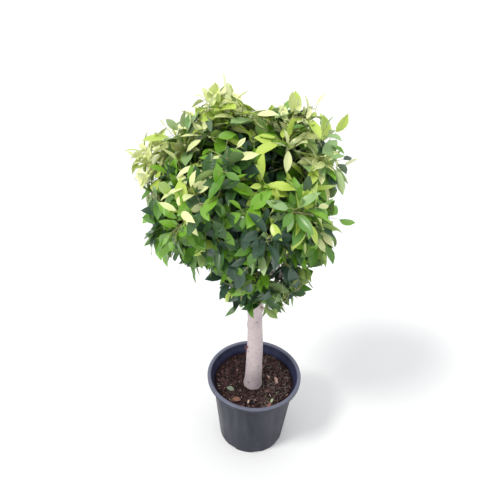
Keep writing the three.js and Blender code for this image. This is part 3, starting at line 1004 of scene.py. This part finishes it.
aside = np.linalg.norm((shoot_end - head_middle)[:, :2], axis=1) / np.ptp(head_skin[:, 0]) * 2
top = ramp(high, TOP_START, TOP_SPAN)
rim = ramp(aside, RIM_START, RIM_SPAN) * ramp(high, RIM_LEVEL, RIM_RISE)
# painted shade: sprays low in the head lean to the deep greens
shade = ramp(high, SHADE_LEVEL, SHADE_FALL)
# partly new growth, partly painted light: high outer sprays and upper sides lean to the pale greens
new_growth_and_light = outward * np.maximum(top, RIM_GROWTH_AND_LIGHT * rim)
weights = np.stack(
    [
        # one row for each green, in their order above
        0.01 + 0.02 * outward + 11.0 * new_growth_and_light ** 1.9,
        0.03 + 0.50 * outward * (1 - 0.6 * shade) + 2.6 * new_growth_and_light,
        0.06 + outward * 1.50 - 1.00 * new_growth_and_light,
        0.03 + outward * 0.20 + 0.45 * new_growth_and_light,
        0.35 + outward * 0.55 - 0.55 * new_growth_and_light,
        0.60 + 0.5 * (1 - outward) - 0.55 * new_growth_and_light + 0.55 * shade,
        0.34 + 0.5 * (1 - outward) - 0.29 * new_growth_and_light + 0.35 * shade,
        0.035 * outward + 0.008,
    ],
    axis=1,
)
draw = np.log(weights) + leaf_random.gumbel(size=weights.shape)
spray_green = np.argmax(draw, axis=1)
leaf_green = np.repeat(spray_green[:, None], LEAVES_A_SHOOT, axis=1)
old_share = np.linspace(*OLD_SHARE, LEAVES_A_SHOOT)[None] * (1 - 0.7 * new_growth_and_light[:, None])
ages = leaf_random.random(leaf_green.shape) < old_share
leaf_green = np.where(ages, OLDER[leaf_green], leaf_green)
print({name: int((leaf_green == index).sum()) for index, name in enumerate(GREENS)})

# %% [markdown]
# Each leaf then gets its size, slenderness, fold, arch and wave, each from its own draw. Young leaves are
# shorter, narrower and more folded, and the last leaf on a shoot is still growing.

# %% Leaf sizes and bends
YOUNG_GREENS = [0, 7]
YOUNG_LENGTH = 0.80
YOUNG_WIDTH = 0.82
YOUNG_FOLD = 0.12
LAST_SHORTER = 0.22
young = np.isin(leaf_green, YOUNG_GREENS)
size_draw = leaf_random.random(leaf_green.shape) ** 0.6
leaf_length = LEAF_LENGTH[0] + (LEAF_LENGTH[1] - LEAF_LENGTH[0]) * size_draw
leaf_length = leaf_length * np.where(young, YOUNG_LENGTH, 1.0) * (1 - LAST_SHORTER * is_last)
slender = leaf_random.uniform(*LEAF_SLENDER, leaf_green.shape) * np.where(young, YOUNG_WIDTH, 1.0)
leaf_fold = leaf_random.uniform(0.10, 0.42, leaf_green.shape) + YOUNG_FOLD * young
leaf_arch = leaf_random.uniform(0.02, 0.20, leaf_green.shape)
leaf_wave = leaf_random.uniform(0.0, 0.12, leaf_green.shape)
leaf_tip = (stalk_end + leaf_way * leaf_length[..., None]).reshape(-1, 3)
spray = np.repeat(np.arange(len(sprays)), LEAVES_A_SHOOT)
first_long = len(shoots) - len(LONG_ENDS)
first_inner = first_long - len(inner_shoots)
is_long = (spray >= first_long) & (spray < len(shoots))
is_inner = (spray >= first_inner) & (spray < first_long)
room = leaf_random.uniform(*MASS_ROOM, len(leaf_tip)) + INNER_ROOM * is_inner
dropped = leaf_random.random(len(leaf_tip)) < OPEN_TOP * ramp(head_share(leaf_tip), 0.82, 0.10)
kept = (in_a_mass(leaf_tip, room) & under_saddle(leaf_tip) & ~dropped) | is_long
flat = [values.reshape(-1, 3)[kept] for values in (stalk_end, leaf_way, leaf_up)]
leaf_width = leaf_length * slender
flat += [values.ravel()[kept] for values in (leaf_length, leaf_width, leaf_fold, leaf_arch, leaf_wave)]
all_leaves = leaf_points(*flat)
kept_length = 1000 * leaf_length.ravel()[kept]
print(f"{len(all_leaves)} leaves, {kept_length.min():.0f} to {kept_length.max():.0f} mm long")
print(f"mean {kept_length.mean():.1f} mm")

# %% [markdown]
# ## The leaf's finish
#
# A fig leaf is waxy: its colour is even, and what shows is the sheen, broken by the pairs of fine side veins
# that run from the midrib to the margin. The veins follow the leaf, so they read its own UV map, where U runs
# along the midrib and V across it. A cosine wave of U less a share of the distance from the midrib makes
# slanted ridges. As all the greens use them, they are one node group.

# %% Side veins
VEIN_PAIRS = 9.0
VEIN_SLANT = 3.4
VEIN_DEPTH = 0.00014
vein_group, entry, out = new_group("side_veins", {"UV": None}, "Height")
parts = node(vein_group, "ShaderNodeSeparateXYZ", {"Vector": entry.outputs["UV"]}).outputs
from_rib = maths(vein_group, "ABSOLUTE", maths(vein_group, "SUBTRACT", parts["Y"], 0.5))
slant = maths(vein_group, "MULTIPLY", from_rib, -VEIN_SLANT)
run = maths(vein_group, "MULTIPLY_ADD", parts["X"], VEIN_PAIRS, slant)
wave = maths(vein_group, "COSINE", maths(vein_group, "MULTIPLY", run, 2 * math.pi))
vein_group.links.new(remap(vein_group, wave, 0.55, 1.0, 0.0, 1.0), out.inputs["Height"])


def leaf_finish(name, colour, roughness, coat):
    """Waxy leaf skin in one colour: mottled roughness, side veins as a shallow relief, and a thin coat."""
    material, tree, shader, place = new_finish(name)
    uv = node(tree, "ShaderNodeUVMap", uv_map="leaf").outputs["UV"]
    veins = node(tree, "ShaderNodeGroup", {"UV": uv}, node_tree=vein_group).outputs["Height"]
    inputs = {
        "Base Color": screen_colour(*colour),
        "Coat Weight": coat,
        "Coat Roughness": 0.18,
        "Roughness": mottle(tree, place, 90.0, roughness - 0.07, roughness + 0.09),
        "Normal": relief(tree, veins, VEIN_DEPTH),
    }
    set_inputs(tree, shader, inputs)
    return material


# %% Leaf pieces
RIB_SHARE = 0.8
leaf_uv = np.stack([leaf_corners[:, 0], 0.5 + 0.5 * leaf_corners[:, 1]], axis=1)
green_index = leaf_green.ravel()[kept]
for index, (name, (top_colour, under_colour, roughness, coat)) in enumerate(GREENS.items()):
    chosen = all_leaves[green_index == index]
    faces = [repeated(part, len(chosen), len(leaf_corners)) for part in leaf_faces]
    rib_colour = RIB_SHARE * np.array(under_colour) + (1 - RIB_SHARE) * np.array(top_colour)
    finishes = [
        leaf_finish(f"leaf_{name}", top_colour, roughness, coat),
        leaf_finish(f"underside_{name}", under_colour, roughness + 0.2, 0.0),
        leaf_finish(f"midrib_{name}", rib_colour, roughness + 0.1, 0.0),
    ]
    uv = {"leaf": np.tile(leaf_uv, (len(chosen), 1))}
    make_piece(f"leaves_{name}", (chosen, *faces), finishes, masses, layers=uv)

# %% [markdown]
# Each leaf hangs on a short stalk. The stalks are the thinnest tubes on the plant, three-sided, bent once,
# and all one piece. They run a little way into their blades.

# %% Leaf stalks
STALK_INTO_LEAF = 0.002
STALK_BEND = 0.0015
stalk_start = leaf_root.reshape(-1, 3)[kept]
stalk_tip = (stalk_end + leaf_way * STALK_INTO_LEAF).reshape(-1, 3)[kept]
stalk_bend = (stalk_start + stalk_tip) / 2 + around.reshape(-1, 3)[kept] * STALK_BEND
stalks = bent_lines(stalk_start, stalk_bend, stalk_tip, 3)
stalk_finish = dull_finish("leaf_stalk", (178, 192, 104), 0.5, *TWIG_GRAIN)
make_piece("leaf_stalks", sweep(stalks, taper(stalks, 0.0006, 0.0008), 3), [stalk_finish], masses)

# %% [markdown]
# ## The pot
#
# The pot is a moulded nursery pot: one skin of slate-grey plastic, a tapering wall, and a lip that folds out
# and down over itself. It is a turned shape, so one profile carried round the axis makes all of it. The
# profile could be a Screw modifier on a curve. Worked out as a grid it can also have what turning can't give:
# the drainage notches round the foot, which lift the edge in a few places.

# %% The pot's profile
POT_SIDES = 192
POT_NOTCHES = 8
NOTCH_HEIGHT = 0.0045
NOTCH_HALF = 0.16
NOTCH_EDGE = 0.03
PROFILE_PARTS = 2
FOOT_ROWS = 30
FOOT_INSIDE = 0.0885
pot_low, pot_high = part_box("pot")
PROFILE = np.array(
    [
        # radius, height in millimetres: underside, foot, wall, skirt and lip, then down the inside
        (0, 2.4), (40, 2.4), (78, 2.4), (88, 2.4), (89.5, 2.0), (90.5, 0.4), (91.5, 0), (95, 0),
        (97.6, 0), (98.6, 0.4), (99.2, 1.6), (99.6, 5), (100.6, 14), (103, 38), (106.2, 68), (109.2, 98),
        (112.3, 128), (115.4, 158), (118.4, 188), (120.6, 210), (121.6, 221), (122.0, 224.6),
        (123.2, 226.0), (124.6, 227.2), (125.2, 229.2), (126.2, 231.6), (129.6, 233.4), (136.2, 234.4),
        (138.0, 234.8), (138.9, 235.6), (139.3, 237), (139.6, 241), (139.8, 244.6), (139.2, 246.6),
        (137.6, 247.8), (135.4, 248), (132, 247.9), (130.2, 247.2), (129.2, 245.6), (128.2, 242),
        (126.4, 237), (124.2, 232), (121.9, 227.6), (120.0, 223.4), (118.9, 218), (117.4, 204),
        (112.8, 158), (106.8, 98), (100.6, 38), (97.4, 6), (96.6, 3.6), (95, 3), (60, 3), (0, 3),
    ]
) / 1000


def turned_rings(profile, sides):
    """Points of a profile carried round the axis: (radius cos a, radius sin a, height). The first and last
    profile points are on the axis and become single poles."""
    angle = np.arange(sides) * 2 * np.pi / sides
    radius, height = profile[1:-1, :1], profile[1:-1, 1:]
    return np.stack([radius * np.cos(angle), radius * np.sin(angle), height + 0 * angle], axis=-1)


def eased(profile, parts):
    """The profile with each span cut in equal parts, so that the surface has rows to bend between."""
    places = np.arange((len(profile) - 1) * parts + 1) / parts
    return np.stack([np.interp(places, np.arange(len(profile)), profile[:, k]) for k in (0, 1)], axis=1)


pot_profile = eased(PROFILE, PROFILE_PARTS)
pot_rings = turned_rings(pot_profile, POT_SIDES)
angle = np.arange(POT_SIDES) * 2 * np.pi / POT_SIDES
from_notch = (angle * POT_NOTCHES / (2 * np.pi) + 0.25) % 1.0 - 0.5
in_notch = ramp(np.abs(from_notch), NOTCH_HALF, -NOTCH_EDGE)
ring_radius = np.hypot(pot_rings[..., 0], pot_rings[..., 1])
is_foot = (pot_rings[..., 2] < NOTCH_HEIGHT) & (ring_radius > FOOT_INSIDE)
is_foot &= np.arange(len(pot_rings))[:, None] < FOOT_ROWS
lifted = np.maximum(pot_rings[..., 2], NOTCH_HEIGHT * in_notch)
pot_rings[..., 2] = np.where(is_foot, lifted, pot_rings[..., 2])
pot_shape = capped(pot_rings, [0, 0, pot_profile[0, 1]], [0, 0, pot_profile[-1, 1]])
print(f"pot {1000 * (pot_high.x - pot_low.x):.0f} mm across its lip, {1000 * pot_high.z:.0f} mm high")

# %% [markdown]
# ## The pot's finish
#
# Moulded plastic has a soft sheen and a fine skin of pits. In use it picks up pale dust and water marks,
# and long scuffs where pots are stacked in each other. The dust is a lighter, duller colour mixed in by
# noise that has been stretched down the wall. The top of the lip is mixed far towards that colour: partly
# dust, and partly painted light, the lit lip against the shaded inside. The inside wall, wherever the
# surface faces the pot's axis, is mixed halfway to a lighter blue, as painted bounce light.

# %% Pot finish
# share of the lighter blue on the inside wall, which is painted bounce light
INNER_LIGHT_SHARE = 0.50
# share of the paler grey on top of the lip: partly dust, partly painted light
LIP_DUST_AND_LIGHT = 0.85
LIP_HEIGHTS = (0.2415, 0.2465)
plastic, tree, shader, place = new_finish("slate_plastic")
slate = screen_colour(24, 27, 44)
# paler grey of dust and scuffs, which on the lip top is also painted light
dust_and_light_grey = screen_colour(110, 113, 131)
# lighter blue of the painted bounce light on the inside wall
painted_inner_light = screen_colour(50, 54, 92)
tall = stretched(tree, place, 0.22)
streaks = mottle(tree, tall, 46.0, 0.0, 0.12, 5.0)
height = node(tree, "ShaderNodeSeparateXYZ", {"Vector": place}).outputs["Z"]
# dust streaks, and the lip top mixed far to the paler grey as dust and painted light
dust_and_lip_light = maths(tree, "ADD", streaks, remap(tree, height, *LIP_HEIGHTS, 0.0, LIP_DUST_AND_LIGHT))
inputs = {0: place, 1: (1.0, 1.0, 0.0)}
from_axis = node(tree, "ShaderNodeVectorMath", inputs, operation="MULTIPLY").outputs[0]
inputs = {0: from_axis, 1: node(tree, "ShaderNodeNewGeometry").outputs["Normal"]}
facing_out = node(tree, "ShaderNodeVectorMath", inputs, operation="DOT_PRODUCT").outputs["Value"]
# painted bounce light: where the surface faces the axis, mixed towards the lighter blue
inner_lit_slate = mix_colour(tree, remap(tree, facing_out, -0.06, 0.0, INNER_LIGHT_SHARE, 0.0), slate, painted_inner_light)
inputs = {
    "Base Color": mix_colour(tree, dust_and_lip_light, inner_lit_slate, dust_and_light_grey),
    "Roughness": mottle(tree, tall, 30.0, 0.38, 0.56),
    "Specular IOR Level": 0.35,
    "Normal": relief(tree, grain(tree, place, 900.0, 0.5), 0.00012),
}
set_inputs(tree, shader, inputs)
make_piece("pot_moulding", pot_shape, [plastic], ("pot",))

# %% [markdown]
# ## The potting mix
#
# The soil's surface is a disc that dishes round the stem. Its height is the CAD's, plus several sizes of
# crumb. Real potting mix is crumbs of peat, fibres of coconut husk and flakes of bark, so those lie on it as
# small loose shapes: their outlines catch the light as no bump map does.

# %% The soil's surface
SOIL_RINGS = 150
SOIL_SPOKES = 300
CRUMB_HEIGHT = 0.0022
SOIL_TOP_ABOVE = 0.19
SOIL_SKIRT = 0.020
WAVES = 60
soil_low, soil_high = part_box("potting_mix")
soil_corners = node_points("potting_mix")
dish = soil_corners[soil_corners[:, 2] > SOIL_TOP_ABOVE]
dish_radius = np.hypot(dish[:, 0], dish[:, 1])
dish_order = np.argsort(dish_radius)
dish_radius, dish_height = dish_radius[dish_order], dish[dish_order, 2]
soil_edge = dish_radius[-1]
soil_random = np.random.default_rng(5)
bump_way = soil_random.normal(0, 1, (WAVES, 2)) * 90 * soil_random.uniform(0.4, 4.5, (WAVES, 1))
bump_phase = soil_random.uniform(0, 6.3, WAVES)
bump_size = 1 / (1 + np.linalg.norm(bump_way, axis=1) / 120)


def soil_height(x, y):
    """The dished level at that radius plus a sum of sine waves of many sizes and directions."""
    phase = x[..., None] * bump_way[:, 0] + y[..., None] * bump_way[:, 1] + bump_phase
    crumbs = (np.sin(phase) * bump_size).sum(axis=-1) / bump_size.sum() * 2.4
    return np.interp(np.hypot(x, y), dish_radius, dish_height) + CRUMB_HEIGHT * crumbs


ring_radius = np.linspace(0.001, soil_edge, SOIL_RINGS)[:, None]
spoke = np.arange(SOIL_SPOKES)[None] * 2 * np.pi / SOIL_SPOKES
x, y = ring_radius * np.cos(spoke), ring_radius * np.sin(spoke)
top_rings = np.stack([x, y, soil_height(x, y)], axis=-1)
skirt = top_rings[-1:].copy()
skirt[..., 2] -= SOIL_SKIRT
soil_rings = np.concatenate([top_rings, skirt])[::-1]
soil_shape = capped(soil_rings, [0, 0, skirt[0, 0, 2]], [0, 0, dish_height[0]])
soil_depth = 1000 * (soil_high.z - soil_low.z)
print(f"soil {soil_depth:.0f} mm deep at its edge, dished {1000 * np.ptp(dish_height):.0f} mm")

# %% [markdown]
# Moist peat is almost black, with a reddish brown where it dries. Most of what shows is its roughness, so the
# grain is coarse and deep, and it hardly shines.

# %% Soil finish
peat, tree, shader, place = new_finish("potting_mix_peat")
dark_peat = screen_colour(15, 6, 7)
red_peat = screen_colour(44, 22, 23)
patches = mottle(tree, place, 240.0, 0.0, 1.0, 6.0)
inputs = {
    "Base Color": mix_colour(tree, patches, dark_peat, red_peat),
    "Roughness": mottle(tree, place, 300.0, 0.72, 0.95),
    "Specular IOR Level": 0.2,
    "Normal": relief(tree, grain(tree, place, 480.0, 0.45), 0.0022),
}
set_inputs(tree, shader, inputs)
make_piece("soil", soil_shape, [peat], ("potting_mix",))

# %% [markdown]
# On top lie loose crumbs: six-sided lumps, each squeezed, roughened and turned at random. Where each lies is
# drawn evenly by area, so its radius is the square root of an even draw between two squared radii.

# %% Crumbs
CRUMBS = 2600
CRUMB_SIDES = 6
STEM_CLEAR = 0.029
CRUMBS_FROM_WALL = 0.003


def on_soil(name, shape, colour, roughness=0.8, smooth=True):
    """A piece that lies on the soil, in a dull dry finish with a coarse grain."""
    finish = dull_finish(f"{name}_finish", colour, roughness, 200.0, 600.0, 0.3, 0.0006)
    make_piece(name, shape, [finish], ("potting_mix",), smooth=smooth)


def scattered(count, edge):
    """Places spread evenly by area over the soil between the stem and a radius, and the height there."""
    radius = np.sqrt(soil_random.uniform(STEM_CLEAR ** 2, edge ** 2, count))
    turn = soil_random.uniform(0, 2 * np.pi, count)
    x, y = radius * np.cos(turn), radius * np.sin(turn)
    return np.stack([x, y, soil_height(x, y)], axis=1)


def random_turns(count, tilt):
    """Rotation matrices: a random turn about the vertical after a random lean of the given strength."""
    nose = unit(soil_random.normal(0, 1, (count, 3)) * np.array([1, 1, tilt]))
    top = unit(soil_random.normal(0, tilt, (count, 3)) + np.array([0, 0, 1]))
    side = unit(np.cross(top, nose))
    return np.stack([np.cross(side, top), side, top], axis=1)


crumb_angle = np.arange(CRUMB_SIDES) * 2 * np.pi / CRUMB_SIDES
crumb_ring = np.stack([np.cos(crumb_angle), np.sin(crumb_angle), 0 * crumb_angle], axis=1)
crumb_rings = [crumb_ring * [0.8, 0.8, 1] - [0, 0, 0.35], crumb_ring * [0.9, 0.9, 1] + [0, 0, 0.35]]
crumb, *crumb_faces = capped(np.stack(crumb_rings), [0, 0, -0.7], [0, 0, 0.75])
crumb_size = soil_random.uniform(0.0008, 0.0030, (CRUMBS, 1, 1))
crumb_size = crumb_size * soil_random.uniform(0.6, 1.3, (CRUMBS, 1, 3))
crumb_local = crumb * crumb_size * (1 + soil_random.normal(0, 0.16, (CRUMBS, len(crumb), 1)))
crumb_middles = scattered(CRUMBS, soil_edge - CRUMBS_FROM_WALL)[:, None]
crumb_points = crumb_middles + crumb_local @ random_turns(CRUMBS, 0.5)
crumb_faces = [repeated(part, CRUMBS, len(crumb)) for part in crumb_faces]
on_soil("soil_crumbs", (crumb_points, *crumb_faces), (34, 16, 17), 0.85, smooth=False)

# %% [markdown]
# Flakes of bark and husk are thin, curled and tapered at both ends. Each one is a small grid bent along its
# length, with a top and an under skin that meet at the margin, just as the leaves are made, so the same
# blade serves again at another size. A few pale ones, and fibres that are fine bent tubes, give the mix its
# light flecks.

# %% Flakes and fibres
FLAKES = [
    # name, count, length, slenderness, colour, height of the middle, tilt
    ("flakes_brown", 460, (0.004, 0.014), (0.3, 0.6), (56, 29, 29), 0.0012, 0.35),
    ("flakes_pink", 46, (0.005, 0.013), (0.25, 0.5), (134, 98, 92), 0.0018, 0.3),
    ("flakes_pale", 34, (0.003, 0.008), (0.2, 0.4), (186, 172, 162), 0.0018, 0.3),
    ("flakes_bark", 70, (0.010, 0.021), (0.4, 0.7), (66, 38, 37), 0.0020, 0.35),
]
FIBRES = [
    # name, count, length, radius, colour, least x: those further left are mirrored to the right
    ("soil_fibres", 400, (0.006, 0.024), 0.00032, (116, 88, 80), -1.0),
    ("soil_straw", 110, (0.010, 0.030), 0.00050, (150, 142, 128), 0.0),
]
FLAKES_FROM_WALL = 0.006
FIBRES_FROM_WALL = 0.010
FIBRE_CLEAR = (0.031, soil_edge - 0.003)
FIBRE_ABOVE = 0.0008
FIBRE_BEND = np.array([0, 0, 0.0022])

for name, count, length, slender, colour, lift, tilt in FLAKES:
    turns = random_turns(count, tilt)
    size = soil_random.uniform(*length, count)
    bend = soil_random.uniform(-0.5, 0.6, count)
    middle = scattered(count, soil_edge - FLAKES_FROM_WALL) + np.array([0, 0, lift])
    base = middle - turns[:, 0] * size[:, None] / 2
    width = size * soil_random.uniform(*slender, count)
    flakes = leaf_points(base, turns[:, 0], turns[:, 2], size, width, bend, bend * 0.35, 0.3 + 0 * size)
    faces = [repeated(part, count, len(leaf_corners)) for part in leaf_faces[:2]]
    on_soil(name, (flakes, *faces), colour)

for name, count, length, radius, colour, least_x in FIBRES:
    start = scattered(count, soil_edge - FIBRES_FROM_WALL)
    start[:, 0] = np.where(start[:, 0] < least_x, -start[:, 0], start[:, 0])
    start[:, 2] = soil_height(start[:, 0], start[:, 1]) + FIBRE_ABOVE
    turns = random_turns(count, 0.12)
    size = soil_random.uniform(*length, (count, 1))
    end = start + turns[:, 0] * size
    from_middle = np.linalg.norm(end[:, :2], axis=1, keepdims=True)
    end[:, :2] *= np.clip(from_middle, *FIBRE_CLEAR) / from_middle
    end[:, 2] = soil_height(end[:, 0], end[:, 1]) + FIBRE_ABOVE
    bend = (start + end) / 2 + turns[:, 1] * size * 0.25 + FIBRE_BEND
    lines = bent_lines(start, bend, end, 6)
    on_soil(name, sweep(lines, taper(lines, radius, radius * 0.6), 4), colour)

# %% [markdown]
# Last come the few things that have dropped on the soil: a grey-green leaf and a dry brown one in front of
# the stem, curled pale flakes on the right, and a small piece of a green leaf. They are leaves like the rest,
# laid down one by one.

# %% Fallen leaves
FALLEN = [
    # name, x, y, turn in degrees, length, slenderness, fold, arch, colour
    ("fallen_grey", -0.068, -0.036, -20, 0.027, 0.52, 0.45, 0.20, (126, 138, 116)),
    ("fallen_brown", -0.048, -0.076, 20, 0.034, 0.42, 0.60, 0.25, (150, 108, 88)),
    ("fallen_green", 0.054, -0.075, 70, 0.018, 0.42, 0.40, 0.10, (176, 190, 140)),
    ("fallen_curl", 0.068, 0.004, -75, 0.034, 0.26, 0.90, 0.30, (186, 148, 138)),
    ("fallen_chip", -0.014, -0.082, 80, 0.016, 0.35, 0.40, 0.10, (206, 176, 158)),
    ("fallen_rust", 0.046, -0.094, 30, 0.014, 0.70, 0.30, 0.10, (148, 96, 82)),
    ("fallen_straw", 0.046, 0.018, -60, 0.020, 0.24, 0.60, 0.20, (196, 172, 150)),
]
FALLEN_UP = np.array([[0.10, -0.22, 1.0]])
FALLEN_ABOVE = 0.004
for name, x, y, turn, length, slender, fold, arch, colour in FALLEN:
    along = unit(np.array([[math.cos(math.radians(turn)), math.sin(math.radians(turn)), 0.06]]))
    up_way = unit(FALLEN_UP)
    up_way = unit(up_way - (up_way * along).sum() * along)
    ground_height = soil_height(np.array([x]), np.array([y]))[0] + FALLEN_ABOVE
    base = np.array([[x, y, ground_height]]) - along * length / 2
    values = [np.array([value]) for value in (length, length * slender, fold, arch, 0.15)]
    on_soil(name, (leaf_points(base, along, up_way, *values), *leaf_faces[:2]), colour, 0.7)

# %% [markdown]
# ## Floor, light and air
#
# The plant stands on a plain pale floor under soft studio light. The world is a great soft lamp: dim at the
# horizon and bright overhead, like a white ceiling, so the tops of leaves are light and the depths are dark.
# A wide sun lamp high on the left and in front adds the sheen on the leaves. It lights the floor evenly
# however far that runs, and the wider its angle, the softer its shadows.

# %% Floor and light
FLOOR_HALF = 30.0
FLOOR_WHITE = (0.93, 0.93, 0.93, 1.0)
SKY_WHITE = (0.97, 0.985, 1.0, 1.0)
SKY_GLOW = (0.56, 1.10)
KEY_STRENGTH = 1.5
KEY_WIDTH = 14.0
KEY_FROM = (-0.55, -0.35, 0.85)
floor_mesh = bpy.data.meshes.new("floor")
corners = np.array([[-1, -1, 0], [1, -1, 0], [1, 1, 0], [-1, 1, 0]]) * FLOOR_HALF
floor_mesh.from_pydata(corners.tolist(), [], [(0, 1, 2, 3)])
floor = bpy.data.objects.new("floor", floor_mesh)
bpy.context.scene.collection.objects.link(floor)
floor_finish, tree, shader, place = new_finish("floor_finish")
set_inputs(tree, shader, {"Base Color": FLOOR_WHITE, "Roughness": mottle(tree, place, 2.0, 0.85, 0.95)})
floor_mesh.materials.append(floor_finish)

world = bpy.data.worlds.new("studio")
world.use_nodes = True
sky = world.node_tree
way = node(sky, "ShaderNodeTexCoord").outputs["Generated"]
steep = node(sky, "ShaderNodeSeparateXYZ", {"Vector": way}).outputs["Z"]
glow = remap(sky, steep, 0.0, 1.0, *SKY_GLOW)
set_inputs(sky, sky.nodes["Background"], {"Color": SKY_WHITE, "Strength": glow})
bpy.context.scene.world = world

sun = bpy.data.lights.new("key", "SUN")
sun.energy = KEY_STRENGTH
sun.angle = math.radians(KEY_WIDTH)
sun.color = (1.0, 0.985, 0.95)
key = bpy.data.objects.new("key", sun)
away = unit(np.array(KEY_FROM))
side = unit(np.cross([0, 0, 1], away))
key.matrix_world = Matrix(np.stack([side, np.cross(away, side), away], axis=1).tolist()).to_4x4()
bpy.context.scene.collection.objects.link(key)
bpy.context.scene.view_settings.view_transform = "Standard"
print("floor, sky and key light")
